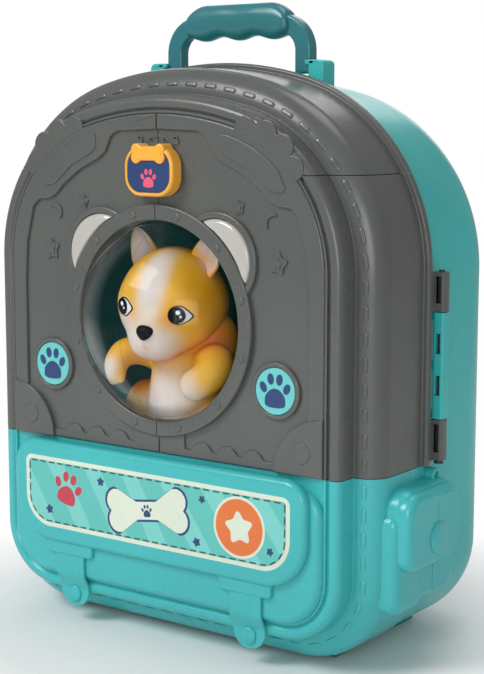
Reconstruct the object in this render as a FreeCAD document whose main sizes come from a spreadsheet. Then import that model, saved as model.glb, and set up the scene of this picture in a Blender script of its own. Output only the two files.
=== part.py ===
import FreeCAD, Part
import math
import os

# Toy vet kit: a rounded carry case whose two grey doors carry a clear bubble
# window, with a turn knob, a folding handle and a toy puppy on the deck inside.
# Units are millimetres. +Z is up, the doors face -Y, +X is the viewer's right.
# The origin is on the floor under the middle of the whole box, so the doors' seam,
# from which every piece is drawn, stands a little left of X = 0.

doc = FreeCAD.newDocument("toy_vet_kit")
sheet = doc.addObject("Spreadsheet::Sheet", "sizes")

# Driving dimensions. "rise" is a height above the door sill, "depth" is measured
# back from the front plane of the door panels, "inset" inwards from the outline.
SIZES = [
    # Outline of the case: straight sides, shoulder arcs and a flatter crown arc
    ("case_half_width", 126.5),
    ("shoulder_radius", 97.9),
    ("shoulder_centre_rise", 98.0),
    ("crown_centre_rise", 1.0),
    ("sill_height", 103.3),
    ("foot_height", 3.0),
    ("corner_radius", 48.0),
    ("case_depth", 143.0),
    ("front_depth", 58.5),
    ("wall", 2.4),
    ("cut_overrun", 5.0),
    # Section of the front pieces: ridge, stitched shoulder, corner roll and rim
    ("panel_inset", 23.5),
    ("groove_width", 1.6),
    ("groove_depth", 2.0),
    ("ridge_width", 7.4),
    ("ridge_front_depth", 1.6),
    ("ridge_roll", 3.4),
    ("ridge_inner_roll", 0.9),
    ("ridge_height", 4.8),
    ("shoulder_depth", 13.0),
    ("edge_roll", 13.0),
    ("ledge_width", 0.8),
    ("rim_proud", 3.3),
    ("rim_width", 4.0),
    ("rim_roll", 1.2),
    ("flange_width", 8.0),
    # Seams
    ("arch_seam_rise", 147.0),
    ("seam_gap", 0.5),
    ("sill_gap", 0.4),
    # Back shell
    ("shell_inset", 1.0),
    ("shell_drop", 3.5),
    ("back_edge_radius", 36.0),
    ("eyelet_depth", 62.5),
    ("eyelet_fall", 5.7),
    ("eyelet_radius", 3.9),
    ("eyelet_hole_radius", 1.9),
    ("eyelet_proud", 4.4),
    # Case screws and their wells
    ("arch_screw_inset", 10.0),
    ("base_screw_inset", 7.5),
    ("side_screw_fall", 30.0),
    ("bottom_screw_out", 50.0),
    ("boss_radius", 5.0),
    ("well_radius", 3.4),
    ("well_floor", 3.0),
    ("pilot_length", 14.0),
    ("boss_length", 18.0),
    ("screw_radius", 1.5),
    ("screw_head_radius", 2.9),
    ("screw_head_height", 2.2),
    ("screw_slot_width", 0.8),
    ("screw_slot_depth", 1.0),
    ("screw_clearance", 0.05),
    ("arch_screw_angle", 50.0),
    # Door panels
    ("panel_thickness", 2.8),
    ("recess_depth", 1.2),
    ("recess_round", 2.5),
    ("web_reach", 4.0),
    ("web_back_depth", 5.2),
    ("relief", 0.7),
    ("strip_rise", 4.2),
    ("strip_depth", 0.3),
    ("bump_radius", 7.2),
    ("bump_pitch", 16.0),
    ("bump_first_out", 28.0),
    ("bump_centre_rise", 1.5),
    ("post_half_width", 17.0),
    ("post_rise", 12.0),
    ("corner_plate_radius", 29.0),
    ("corner_boss_radius", 5.6),
    ("corner_boss_in", 12.5),
    ("corner_boss_rise", 11.5),
    ("scallop_reach", 5.2),
    ("scallop_taper", 4.0),
    ("scallop_radius", 6.8),
    ("scallop_from_angle", 43.0),
    ("scallop_step_angle", 8.6),
    ("scallop_back_depth", 1.1),
    # Window
    ("window_sill_gap", 9.1),
    ("ring_outer_radius", 60.6),
    ("ring_band", 8.1),
    ("ring_proud", 1.2),
    ("ring_round", 0.8),
    ("bubble_ring_gap", 0.7),
    ("bubble_height", 31.0),
    ("bubble_wall", 1.4),
    ("bubble_flange", 4.6),
    ("bubble_fit", 0.3),
    # Ear inserts and paw badges
    ("ear_sink", 10.1),
    ("ear_angle", 41.2),
    ("ear_radius", 25.0),
    ("ear_bezel", 3.6),
    ("ear_proud", 0.9),
    ("ear_fit", 0.3),
    ("ear_crown", 3.2),
    ("badge_gap", 4.9),
    ("badge_rise", 40.5),
    ("badge_bezel_radius", 14.5),
    ("badge_radius", 11.8),
    ("badge_bezel_proud", 1.0),
    ("badge_proud", 0.6),
    ("badge_fit", 0.15),
    ("badge_edge", 0.3),
    # Hinges
    ("hinge_proud", 4.5),
    ("hinge_behind", 6.5),
    ("knuckle_radius", 3.3),
    ("hinge_pin_radius", 1.5),
    ("pin_clearance", 0.05),
    ("hinge_low_rise", 2.0),
    ("hinge_split_low_rise", 23.0),
    ("hinge_split_high_rise", 78.0),
    ("hinge_high_rise", 98.0),
    ("knuckle_gap", 0.4),
    ("pin_head_radius", 2.5),
    ("pin_head_height", 1.4),
    ("pin_tail", 1.0),
    ("leaf_thickness", 2.6),
    ("hinge_slot_width", 2.0),
    ("hinge_slot_margin", 4.0),
    # Knob and latch
    ("knob_lift", 16.9),
    ("knob_half_width", 16.0),
    ("knob_half_height", 12.9),
    ("knob_corner", 10.4),
    ("knob_thickness", 7.3),
    ("knob_gap", 0.5),
    ("knob_edge", 1.2),
    ("knob_rim", 2.1),
    ("knob_face_sink", 0.5),
    ("knob_face_fit", 0.12),
    ("bone_half_length", 7.4),
    ("bone_lobe_radius", 3.4),
    ("bone_waist", 3.7),
    ("bone_lobe_spread", 1.9),
    ("bone_lift", 7.6),
    ("bone_proud", 0.7),
    ("bearing_radius", 7.0),
    ("bearing_clearance", 0.5),
    ("bearing_back_depth", 5.0),
    ("shaft_radius", 3.0),
    ("shaft_clearance", 0.05),
    ("shaft_socket", 5.0),
    ("latch_length", 25.0),
    ("latch_width", 7.0),
    ("latch_thickness", 2.4),
    ("latch_gap", 0.3),
    ("latch_screw_radius", 1.2),
    ("latch_head_radius", 2.6),
    ("latch_head_height", 1.6),
    # Deck
    ("deck_side_gap", 18.0),
    ("deck_front_depth", 7.0),
    ("deck_back_gap", 7.0),
    ("deck_thickness", 2.4),
    ("deck_fall", 1.0),
    ("deck_corner", 30.0),
    ("ledge_reach", 8.0),
    ("ledge_side_gap", 46.5),
    # Pocket panel, label flap and straps of the lower front
    ("lower_panel_depth", 2.0),
    ("pocket_inset", 23.0),
    ("pocket_top_fall", 6.0),
    ("pocket_bottom_fall", 77.6),
    ("pocket_proud", 5.0),
    ("pocket_top_corner", 15.0),
    ("pocket_bottom_corner", 26.0),
    ("pocket_edge", 4.4),
    ("flap_inset", 29.0),
    ("flap_top_fall", 1.4),
    ("flap_bottom_fall", 58.0),
    ("flap_thickness", 4.2),
    ("flap_top_corner", 13.0),
    ("flap_bottom_corner", 26.0),
    ("flap_edge", 3.4),
    ("sticker_margin", 8.6),
    ("sticker_thickness", 0.4),
    ("strap_inset", 67.0),
    ("strap_half_width", 10.0),
    ("strap_thickness", 1.9),
    ("clip_half_width", 16.4),
    ("clip_height", 6.2),
    ("clip_proud", 1.2),
    ("clip_gap", 0.4),
    ("strap_bend_lift", 1.6),
    ("strap_slope", 7.0),
    ("tab_length", 11.0),
    ("tab_depth", 0.9),
    ("tab_half_width", 10.0),
    ("tab_round", 9.6),
    ("snap_radius", 4.6),
    ("snap_drop", 4.0),
    ("snap_height", 1.8),
    ("snap_edge", 0.6),
    # Side pouches
    ("pouch_front_depth", 16.0),
    ("pouch_length", 62.0),
    ("pouch_top_fall", 12.6),
    ("pouch_height", 57.0),
    ("pouch_proud", 9.5),
    ("pouch_edge", 5.6),
    ("pouch_root", 16.0),
    ("pouch_fit", 0.2),
    ("side_flap_front_margin", 6.2),
    ("side_flap_back_margin", 3.4),
    ("side_flap_over", 2.6),
    ("side_flap_height", 38.2),
    ("side_flap_thickness", 3.6),
    ("side_flap_corner", 10.0),
    ("side_flap_edge", 3.2),
    ("side_flap_lip", 7.5),
    ("side_snap_behind", 28.8),
    ("side_snap_drop", 24.2),
    ("side_snap_radius", 8.4),
    ("side_snap_height", 1.6),
    ("side_step_behind", 27.0),
    ("side_step", 1.6),
    # Handle
    ("handle_behind", 14.6),
    ("handle_half_width", 48.0),
    ("handle_arm_width", 10.0),
    ("handle_arm_lift", 29.0),
    ("handle_thickness", 7.5),
    ("handle_edge", 1.5),
    ("handle_elbow", 19.5),
    ("grip_half_length", 34.2),
    ("grip_top_lift", 35.4),
    ("grip_side_lift", 28.0),
    ("grip_under_lift", 16.9),
    ("grip_round", 16.0),
    ("grip_wave", 1.1),
    ("grip_thickness", 13.5),
    ("grip_edge", 5.2),
    ("handle_pivot_lift", 1.0),
    ("handle_pin_radius", 2.0),
    ("handle_pin_reach", 8.0),
    ("bracket_gap", 0.5),
    ("bracket_width", 9.5),
    ("bracket_depth", 13.0),
    ("bracket_top_lift", 4.4),
    ("bracket_round", 3.0),
    ("bracket_root", 22.0),
    ("bracket_lip", 2.4),
    ("bracket_cap_reach", 2.2),
    # Feet
    ("foot_inset", 42.5),
    ("front_foot_depth", 45.0),
    ("back_foot_gap", 39.0),
    ("foot_width", 11.0),
    ("foot_length", 20.0),
    ("foot_root", 6.0),
    ("foot_edge", 1.0),
    # Puppy on the deck
    ("puppy_shift", -4.0),
    ("head_radius", 28.5),
    ("head_depth", 21.0),
    ("head_rise", 78.5),
    ("muzzle_radius", 14.0),
    ("muzzle_depth", 8.5),
    ("muzzle_rise", 61.5),
    ("ear_root_radius", 8.5),
    ("ear_tip_radius", 3.6),
    ("ear_root_out", 19.0),
    ("ear_tip_out", 27.0),
    ("ear_root_rise", 97.0),
    ("ear_tip_rise", 113.5),
    ("ear_line_depth", 21.0),
    ("belly_radius", 21.5),
    ("belly_depth", 33.0),
    ("belly_rise", 20.0),
    ("chest_radius", 15.5),
    ("chest_depth", 27.0),
    ("chest_rise", 42.0),
    ("arm_root_radius", 9.0),
    ("arm_root_out", 18.0),
    ("arm_root_depth", 22.0),
    ("arm_root_rise", 44.0),
    ("elbow_radius", 7.5),
    ("elbow_out", 29.0),
    ("elbow_depth", 14.0),
    ("elbow_rise", 45.0),
    ("paw_radius", 6.6),
    ("paw_out", 23.5),
    ("paw_depth", 1.0),
    ("paw_rise", 39.0),
    ("thigh_radius", 12.5),
    ("thigh_out", 17.0),
    ("thigh_depth", 28.0),
    ("thigh_rise", 14.0),
    ("foot_radius", 8.2),
    ("foot_toe_out", 27.0),
    ("foot_toe_depth", 16.5),
    ("foot_toe_rise", 7.5),
    ("eye_radius", 5.6),
    ("eye_out", 18.2),
    ("eye_rise", 74.5),
    ("eye_sink", 3.6),
    ("nose_radius", 4.6),
    ("nose_rise", 66.5),
    ("nose_depth", -3.2),
    ("neck_gap", 0.3),
    ("eye_fit", 0.3),
]

for row, (alias, value) in enumerate(SIZES, start=1):
    sheet.set("A%d" % row, alias)
    sheet.set("B%d" % row, str(value))
    sheet.setAlias("B%d" % row, alias)
doc.recompute()


class Sizes:
    """The sheet's values, read by their aliases."""

    def __getattr__(self, alias):
        return float(sheet.get(alias))


s = Sizes()
V = FreeCAD.Vector
AXIS_X = V(1, 0, 0)
AXIS_Y = V(0, 1, 0)
AXIS_Z = V(0, 0, 1)
ORIGIN = V(0, 0, 0)
pieces = []


# Places in the shared frame

def depth(distance):
    """World Y of a depth behind the panel plane; the box is centred on Y = 0."""
    return (s.bubble_height - s.case_depth) / 2 + distance


def rise(height):
    """World Z of a height above the door sill."""
    return s.sill_height + height


def seam():
    """Where the doors' seam stands: left of X = 0, because the pouch on the right makes the box wider there."""
    left = s.hinge_proud + s.knuckle_radius
    right = s.pouch_proud + s.side_flap_thickness + s.side_snap_height
    return V((left - right) / 2, 0, 0)


# Places that follow from the driving sizes

def shoulder_out():
    return s.case_half_width - s.shoulder_radius


def crown_top():
    """World Z of the outline's highest point."""
    reach = math.hypot(shoulder_out(), s.shoulder_centre_rise - s.crown_centre_rise)
    return rise(s.crown_centre_rise + s.shoulder_radius + reach)


def pivot_height():
    return crown_top() + s.handle_pivot_lift


def hinge_out():
    return s.case_half_width + s.hinge_proud


def window_rise():
    return s.ring_outer_radius + s.window_sill_gap


def ring_inner():
    return s.ring_outer_radius - s.ring_band


def bubble_radius():
    return ring_inner() - s.bubble_ring_gap


def hinge_depth():
    return s.front_depth + s.hinge_behind


def ear_out():
    return (s.ring_outer_radius - s.ear_sink) * math.cos(math.radians(s.ear_angle))


def ear_rise():
    return window_rise() + (s.ring_outer_radius - s.ear_sink) * math.sin(math.radians(s.ear_angle))


def knob_rise():
    return window_rise() + s.ring_outer_radius + s.knob_lift


def badge_out():
    """Clear of the window ring by the badge gap."""
    away = s.ring_outer_radius + s.badge_gap + s.badge_bezel_radius
    return math.sqrt(away ** 2 - (window_rise() - s.badge_rise) ** 2)


def handle_depth():
    return s.front_depth + s.handle_behind


def strap_bend():
    return s.pocket_bottom_fall - s.strap_bend_lift


def strap_tab():
    return strap_bend() + s.strap_slope


def pouch_back():
    return s.pouch_front_depth + s.pouch_length


def pouch_bottom():
    return s.pouch_top_fall + s.pouch_height


def side_flap_front():
    return s.pouch_front_depth + s.side_flap_front_margin


def side_flap_back():
    return pouch_back() - s.side_flap_back_margin


def side_flap_top():
    return s.pouch_top_fall - s.side_flap_over


def side_flap_bottom():
    return side_flap_top() + s.side_flap_height


def deck_half():
    return s.case_half_width - s.deck_side_gap


def deck_back():
    return s.case_depth - s.deck_back_gap


def ledge_half():
    return s.case_half_width - s.ledge_side_gap


def pocket_half():
    return s.case_half_width - s.pocket_inset


def flap_half():
    return s.case_half_width - s.flap_inset


def strap_out():
    return s.case_half_width - s.strap_inset


def foot_out():
    return s.case_half_width - s.foot_inset


def keep(label, shape):
    """Puts a finished shape into the document as a sub-part."""
    part = doc.addObject("Part::Feature", label)
    part.Label = label
    part.Shape = shape
    part.Placement = FreeCAD.Placement(seam(), FreeCAD.Rotation())
    pieces.append(part)
    return part


def mirrored(shape):
    return shape.mirror(ORIGIN, AXIS_X)


def fused(solids):
    first, rest = solids[0], solids[1:]
    if not rest:
        return first
    return first.multiFuse(rest).removeSplitter()


# Plane figures

def rounded_wire(points, radii, place):
    """Closed wire through 2D points, each corner rounded by its own radius."""
    count = len(points)
    ends = []
    for index in range(count):
        px, py = points[index]
        ax, ay = points[index - 1]
        bx, by = points[(index + 1) % count]
        radius = radii[index]
        to_a = math.hypot(ax - px, ay - py)
        to_b = math.hypot(bx - px, by - py)
        ua = ((ax - px) / to_a, (ay - py) / to_a)
        ub = ((bx - px) / to_b, (by - py) / to_b)
        if radius <= 0:
            ends.append(((px, py), None, (px, py)))
            continue
        half = math.acos(max(-1, min(1, ua[0] * ub[0] + ua[1] * ub[1]))) / 2
        run = radius / math.tan(half)
        mx, my = ua[0] + ub[0], ua[1] + ub[1]
        size = math.hypot(mx, my)
        reach = radius / math.sin(half) - radius
        start = (px + ua[0] * run, py + ua[1] * run)
        middle = (px + mx / size * reach, py + my / size * reach)
        finish = (px + ub[0] * run, py + ub[1] * run)
        ends.append((start, middle, finish))
    edges = []
    for index in range(count):
        start, middle, finish = ends[index]
        following = ends[(index + 1) % count][0]
        if middle is not None:
            edges.append(Part.Arc(place(*start), place(*middle), place(*finish)).toShape())
        if place(*finish).distanceToPoint(place(*following)) > Part.Precision.confusion():
            edges.append(Part.makeLine(place(*finish), place(*following)))
    return Part.Wire(edges)


def plate(points, radii, front, back):
    """Plate in the XZ plane between two world Y values."""
    face = Part.Face(rounded_wire(points, radii, lambda x, z: V(x, front, z)))
    return face.extrude(V(0, back - front, 0))


def disc(x, z, radius, front, back):
    return Part.makeCylinder(radius, back - front, V(x, front, z), AXIS_Y)


def box(x0, x1, y0, y1, z0, z1):
    return Part.makeBox(x1 - x0, y1 - y0, z1 - z0, V(x0, y0, z0))


def front_edges(shape, y):
    """Edges that lie wholly in the plane Y = y."""
    near = s.seam_gap / 10
    return [e for e in shape.Edges if abs(e.BoundBox.YMin - y) < near and abs(e.BoundBox.YMax - y) < near]


# The case outline and sections carried along it

def crown_lean():
    """Angle from vertical at which the crown arc meets a shoulder arc."""
    return math.degrees(math.atan2(shoulder_out(), s.shoulder_centre_rise - s.crown_centre_rise))


def outline_wire(inset, y, drop=0):
    """Closed outline of the case, moved inwards by inset, its arch lowered by drop."""
    lean = math.radians(crown_lean())
    out = shoulder_out()
    centre_z = rise(s.shoulder_centre_rise) - drop
    crown_z = rise(s.crown_centre_rise) - drop
    half = s.case_half_width - inset
    shoulder_r = half - out
    crown_r = shoulder_r + math.hypot(out, centre_z - crown_z)
    meet = (crown_r * math.sin(lean), crown_z + crown_r * math.cos(lean))
    turn = (math.pi / 2 - lean) / 2
    middle = (out + shoulder_r * math.cos(turn), centre_z + shoulder_r * math.sin(turn))
    corner = s.corner_radius - inset
    corner_x = s.case_half_width - s.corner_radius
    corner_z = s.foot_height + s.corner_radius
    bend = math.sqrt(0.5) * corner
    floor = corner_z - corner

    def at(x, z):
        return V(x, y, z)

    edges = [
        Part.Arc(at(-meet[0], meet[1]), at(0, crown_z + crown_r), at(*meet)).toShape(),
        Part.Arc(at(*meet), at(*middle), at(half, centre_z)).toShape(),
        Part.makeLine(at(half, centre_z), at(half, corner_z)),
        Part.Arc(at(half, corner_z), at(corner_x + bend, corner_z - bend), at(corner_x, floor)).toShape(),
        Part.makeLine(at(corner_x, floor), at(-corner_x, floor)),
        Part.Arc(at(-corner_x, floor), at(-corner_x - bend, corner_z - bend), at(-half, corner_z)).toShape(),
        Part.makeLine(at(-half, corner_z), at(-half, centre_z)),
        Part.Arc(at(-half, centre_z), at(-middle[0], middle[1]), at(-meet[0], meet[1])).toShape(),
    ]
    return Part.Wire(edges)


def tub(inset, front, back, edge_radius, drop):
    """Filled case form between two depths, its back edge rounded."""
    block = Part.Face(outline_wire(inset, depth(front), drop)).extrude(V(0, back - front, 0))
    return block.makeFillet(edge_radius, front_edges(block, depth(back)))


def front_section(points, radii, z):
    """Section face: points are (inset, depth), set at the right side at height z."""
    return Part.Face(rounded_wire(points, radii, lambda u, d: V(s.case_half_width - u, depth(d), z)))


def along_side(points, radii, low, high):
    return front_section(points, radii, low).extrude(V(0, 0, high - low))


def along_shoulder(points, radii):
    centre = V(shoulder_out(), 0, rise(s.shoulder_centre_rise))
    return front_section(points, radii, centre.z).revolve(centre, -AXIS_Y, 90 - crown_lean())


def along_crown(points, radii):
    centre = V(shoulder_out(), 0, rise(s.shoulder_centre_rise))
    face = front_section(points, radii, centre.z)
    face.rotate(centre, -AXIS_Y, 90 - crown_lean())
    return face.revolve(V(0, 0, rise(s.crown_centre_rise)), -AXIS_Y, 2 * crown_lean())


def along_corner(points, radii):
    centre = V(s.case_half_width - s.corner_radius, 0, s.foot_height + s.corner_radius)
    return front_section(points, radii, centre.z).revolve(centre, AXIS_Y, 90)


def along_bottom(points, radii):
    centre = V(s.case_half_width - s.corner_radius, 0, s.foot_height + s.corner_radius)
    face = front_section(points, radii, centre.z)
    face.rotate(centre, AXIS_Y, 90)
    return face.extrude(V(-2 * centre.x, 0, 0))


def edge_section(with_rim, with_flange):
    """Moulded edge of a front piece: ridge, wall, stitched shoulder, roll and band."""
    ridge_in = s.panel_inset - s.groove_width
    ridge_out = ridge_in - s.ridge_width
    ridge_back = s.ridge_front_depth + s.ridge_height
    inner_roll = s.edge_roll - s.wall
    step = s.edge_roll + s.ledge_width
    inner_front = s.shoulder_depth + s.wall
    points = [
        (ridge_in, s.ridge_front_depth), (ridge_out, s.ridge_front_depth),
        (step, s.shoulder_depth), (0, s.shoulder_depth),
    ]
    radii = [s.ridge_inner_roll, s.ridge_roll, 0, s.edge_roll]
    if with_rim:
        rim_front = s.front_depth - s.rim_width
        points += [(0, rim_front), (-s.rim_proud, rim_front), (-s.rim_proud, s.front_depth)]
        radii += [0, s.rim_roll, s.rim_roll]
    else:
        points.append((0, s.front_depth))
        radii.append(0)
    if with_flange:
        flange_front = s.front_depth - s.wall
        points += [(s.flange_width, s.front_depth), (s.flange_width, flange_front), (s.wall, flange_front)]
        radii += [0, 0, 0]
    else:
        points.append((s.wall, s.front_depth))
        radii.append(0)
    points += [
        (s.wall, inner_front), (step + s.wall, inner_front),
        (ridge_out + s.wall, ridge_back), (ridge_in, ridge_back),
    ]
    radii += [inner_roll, 0, 0, 0]
    return points, radii


# Case screws: three through the arch, four through the lower front

def screw_places():
    turn = math.radians(s.arch_screw_angle)
    shoulder = s.case_half_width - shoulder_out() - s.arch_screw_inset
    arch_x = shoulder_out() + shoulder * math.cos(turn)
    arch_z = rise(s.shoulder_centre_rise) + shoulder * math.sin(turn)
    reach = math.hypot(shoulder_out(), s.shoulder_centre_rise - s.crown_centre_rise)
    crown_z = rise(s.crown_centre_rise) + shoulder + reach
    side_x = s.case_half_width - s.base_screw_inset
    arch = [(0, crown_z), (arch_x, arch_z), (-arch_x, arch_z)]
    base = [(side_x, rise(-s.side_screw_fall)), (-side_x, rise(-s.side_screw_fall)),
            (s.bottom_screw_out, s.foot_height + s.base_screw_inset),
            (-s.bottom_screw_out, s.foot_height + s.base_screw_inset)]
    return arch, base


ARCH_SCREWS, BASE_SCREWS = screw_places()


def with_bosses(shape, places):
    """Adds screw bosses with pilot holes in front of the parting plane."""
    bosses = [disc(x, z, s.boss_radius, depth(s.front_depth - s.boss_length), depth(s.front_depth))
              for x, z in places]
    pilots = [disc(x, z, s.screw_radius + s.screw_clearance, depth(s.front_depth - s.pilot_length),
                   depth(s.front_depth) + s.cut_overrun) for x, z in places]
    return fused([shape] + bosses).cut(pilots)


# Back shell with its wells, middle hinge knuckles and eyelets

def knuckle(low, high, bore, leaf_from_x, leaf_depths):
    """One hinge knuckle with the flat leaf that ties it to its piece."""
    axis = V(hinge_out(), depth(hinge_depth()), rise(low))
    barrel = Part.makeCylinder(s.knuckle_radius, high - low, axis)
    leaf = box(leaf_from_x, hinge_out(), depth(leaf_depths[0]), depth(leaf_depths[1]), rise(low), rise(high))
    hole = Part.makeCylinder(bore, high - low + 2 * s.cut_overrun, axis - V(0, 0, s.cut_overrun))
    return fused([barrel, leaf]).cut(hole)


def back_shell():
    filled = tub(s.shell_inset, s.front_depth, s.case_depth, s.back_edge_radius, s.shell_drop)
    hollow = tub(s.shell_inset + s.wall, s.front_depth - s.cut_overrun, s.case_depth - s.wall,
                 s.back_edge_radius - s.wall, s.shell_drop)
    shell = filled.cut(hollow)
    bosses = []
    wells = []
    holes = []
    for x, z in ARCH_SCREWS + BASE_SCREWS:
        boss = disc(x, z, s.boss_radius, depth(s.front_depth), depth(s.case_depth))
        bosses.append(boss.common(filled))
        well_front = depth(s.front_depth + s.well_floor)
        wells.append(disc(x, z, s.well_radius, well_front, depth(s.case_depth) + s.cut_overrun))
        holes.append(disc(x, z, s.screw_radius + s.screw_clearance, depth(s.front_depth) - s.cut_overrun,
                          well_front + s.cut_overrun))
    side = s.case_half_width - s.shell_inset
    leaf = (hinge_depth() - s.leaf_thickness / 2, hinge_depth() + s.leaf_thickness / 2)
    middle = knuckle(s.hinge_split_low_rise + s.knuckle_gap, s.hinge_split_high_rise - s.knuckle_gap,
                     s.hinge_pin_radius + s.pin_clearance, side - s.wall / 2, leaf)
    slots = []
    span = s.hinge_split_high_rise - s.hinge_split_low_rise
    length = span / 2 - 2 * s.hinge_slot_margin
    slot_x = side + (hinge_out() - s.knuckle_radius - side) / 2
    for low in (s.hinge_split_low_rise, s.hinge_split_low_rise + span / 2):
        start = rise(low + s.hinge_slot_margin)
        slots.append(box(slot_x - s.hinge_slot_width / 2, slot_x + s.hinge_slot_width / 2,
                         depth(leaf[0]) - s.cut_overrun, depth(leaf[1]) + s.cut_overrun, start, start + length))
    middle = middle.cut(slots)
    eye_x = side - s.wall / 2
    eye_at = V(eye_x, depth(s.eyelet_depth), rise(-s.eyelet_fall))
    eyelet = Part.makeCylinder(s.eyelet_radius, s.eyelet_proud + s.wall / 2, eye_at, AXIS_X)
    eyelet = eyelet.cut(Part.makeCylinder(s.eyelet_hole_radius, s.eyelet_proud + s.cut_overrun,
                                          eye_at + V(s.wall / 2, 0, 0), AXIS_X))
    deck_z = rise(-s.deck_fall - s.deck_thickness)
    ledge = box(-ledge_half(), ledge_half(), depth(deck_back() - s.ledge_reach),
                depth(s.case_depth - s.wall / 2), deck_z - s.wall, deck_z)
    shell = fused([shell, ledge] + bosses).cut(wells + holes)
    return fused([shell, middle, mirrored(middle), eyelet, mirrored(eyelet)])


# Front pieces

def top_arch():
    points, radii = edge_section(True, True)
    shoulder = along_shoulder(points, radii)
    ring = fused([along_crown(points, radii), shoulder, mirrored(shoulder)])
    wide = 2 * s.case_half_width
    below = box(-wide, wide, depth(-s.case_depth), depth(s.case_depth), 0, rise(s.arch_seam_rise))
    return with_bosses(ring.cut(below), ARCH_SCREWS)


def lower_front():
    points, radii = edge_section(False, True)
    low = s.foot_height + s.corner_radius
    side = along_side(points, radii, low, rise(-s.sill_gap))
    corner = along_corner(points, radii)
    solids = [along_bottom(points, radii), side, mirrored(side), corner, mirrored(corner)]
    inset = s.panel_inset - s.groove_width - s.ridge_width / 4
    face = Part.Face(outline_wire(inset, depth(s.lower_panel_depth)))
    panel = face.extrude(V(0, s.wall, 0))
    wide = 2 * s.case_half_width
    above = box(-wide, wide, depth(-s.case_depth), depth(s.case_depth), rise(-s.sill_gap),
                rise(2 * s.shoulder_centre_rise + s.case_depth))
    panel = panel.cut(above)
    deck_z = rise(-s.deck_fall - s.deck_thickness)
    ledge = box(-ledge_half(), ledge_half(), depth(s.lower_panel_depth + s.wall / 2),
                depth(s.deck_front_depth + s.ledge_reach), deck_z - s.wall, deck_z)
    return with_bosses(fused(solids + [panel, ledge]), BASE_SCREWS)


# Doors

# Inner edge of the raised border: shares of the panel's half width and of its height
RECESS_SHARES = [
    (0.0, 0.954), (0.254, 0.949), (0.301, 0.934), (0.339, 0.888), (0.385, 0.868), (0.515, 0.833),
    (0.634, 0.785), (0.685, 0.755), (0.73, 0.743), (0.803, 0.739), (0.848, 0.717), (0.897, 0.608),
    (0.91, 0.486), (0.91, 0.0), (0.0, 0.0),
]
RECESS_ROUND_SHARES = [0, 0.6, 1, 1, 1, 0.4, 0.4, 1, 1, 0.6, 1, 0.4, 0.4, 0, 0]
# Embossed shield on the border's corner, in the same shares
SHIELD_SHARES = [
    (0.401, 0.946), (0.393, 0.903), (0.423, 0.884), (0.559, 0.847), (0.679, 0.789), (0.759, 0.78),
    (0.798, 0.799), (0.722, 0.846), (0.575, 0.904),
]
SHIELD_ROUND_SHARES = [0.3, 0.6, 0.6, 0.3, 0.3, 0.6, 0.6, 0, 0]


def panel_height():
    """Top of the panel's outline above the sill, on the centre line."""
    reach = math.hypot(shoulder_out(), s.shoulder_centre_rise - s.crown_centre_rise)
    return s.crown_centre_rise + s.case_half_width - s.panel_inset - shoulder_out() + reach


def panel_points(shares):
    half = s.case_half_width - s.panel_inset
    return [(x * half, rise(z * panel_height())) for x, z in shares]


def scallops():
    """Cloud-edged plate that hangs over the arch's ridge beside the panel."""
    centre = (shoulder_out(), rise(s.shoulder_centre_rise))
    edge = s.case_half_width - s.panel_inset - shoulder_out()
    lobes = []
    count = round((90 - crown_lean() - s.scallop_from_angle) / s.scallop_step_angle)
    for index in range(count):
        turn = math.radians(s.scallop_from_angle + index * s.scallop_step_angle)
        aside = (2 * index / (count - 1) - 1) ** 2
        reach = edge + s.scallop_reach - s.scallop_taper * aside
        x = centre[0] + reach * math.cos(turn)
        z = centre[1] + reach * math.sin(turn)
        lobes.append(disc(x, z, s.scallop_radius, depth(-s.relief), depth(s.scallop_back_depth)))
    start = V(centre[0] + edge - s.groove_width, depth(-s.relief), centre[1])
    strip = Part.Face(Part.makePolygon([
        start, start + V(s.groove_width + s.scallop_reach, 0, 0),
        start + V(s.groove_width + s.scallop_reach, s.relief + s.scallop_back_depth, 0),
        start + V(0, s.relief + s.scallop_back_depth, 0), start]))
    pivot = V(centre[0], 0, centre[1])
    strip.rotate(pivot, -AXIS_Y, s.scallop_from_angle)
    return [strip.revolve(pivot, -AXIS_Y, (count - 1) * s.scallop_step_angle)] + lobes


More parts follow.
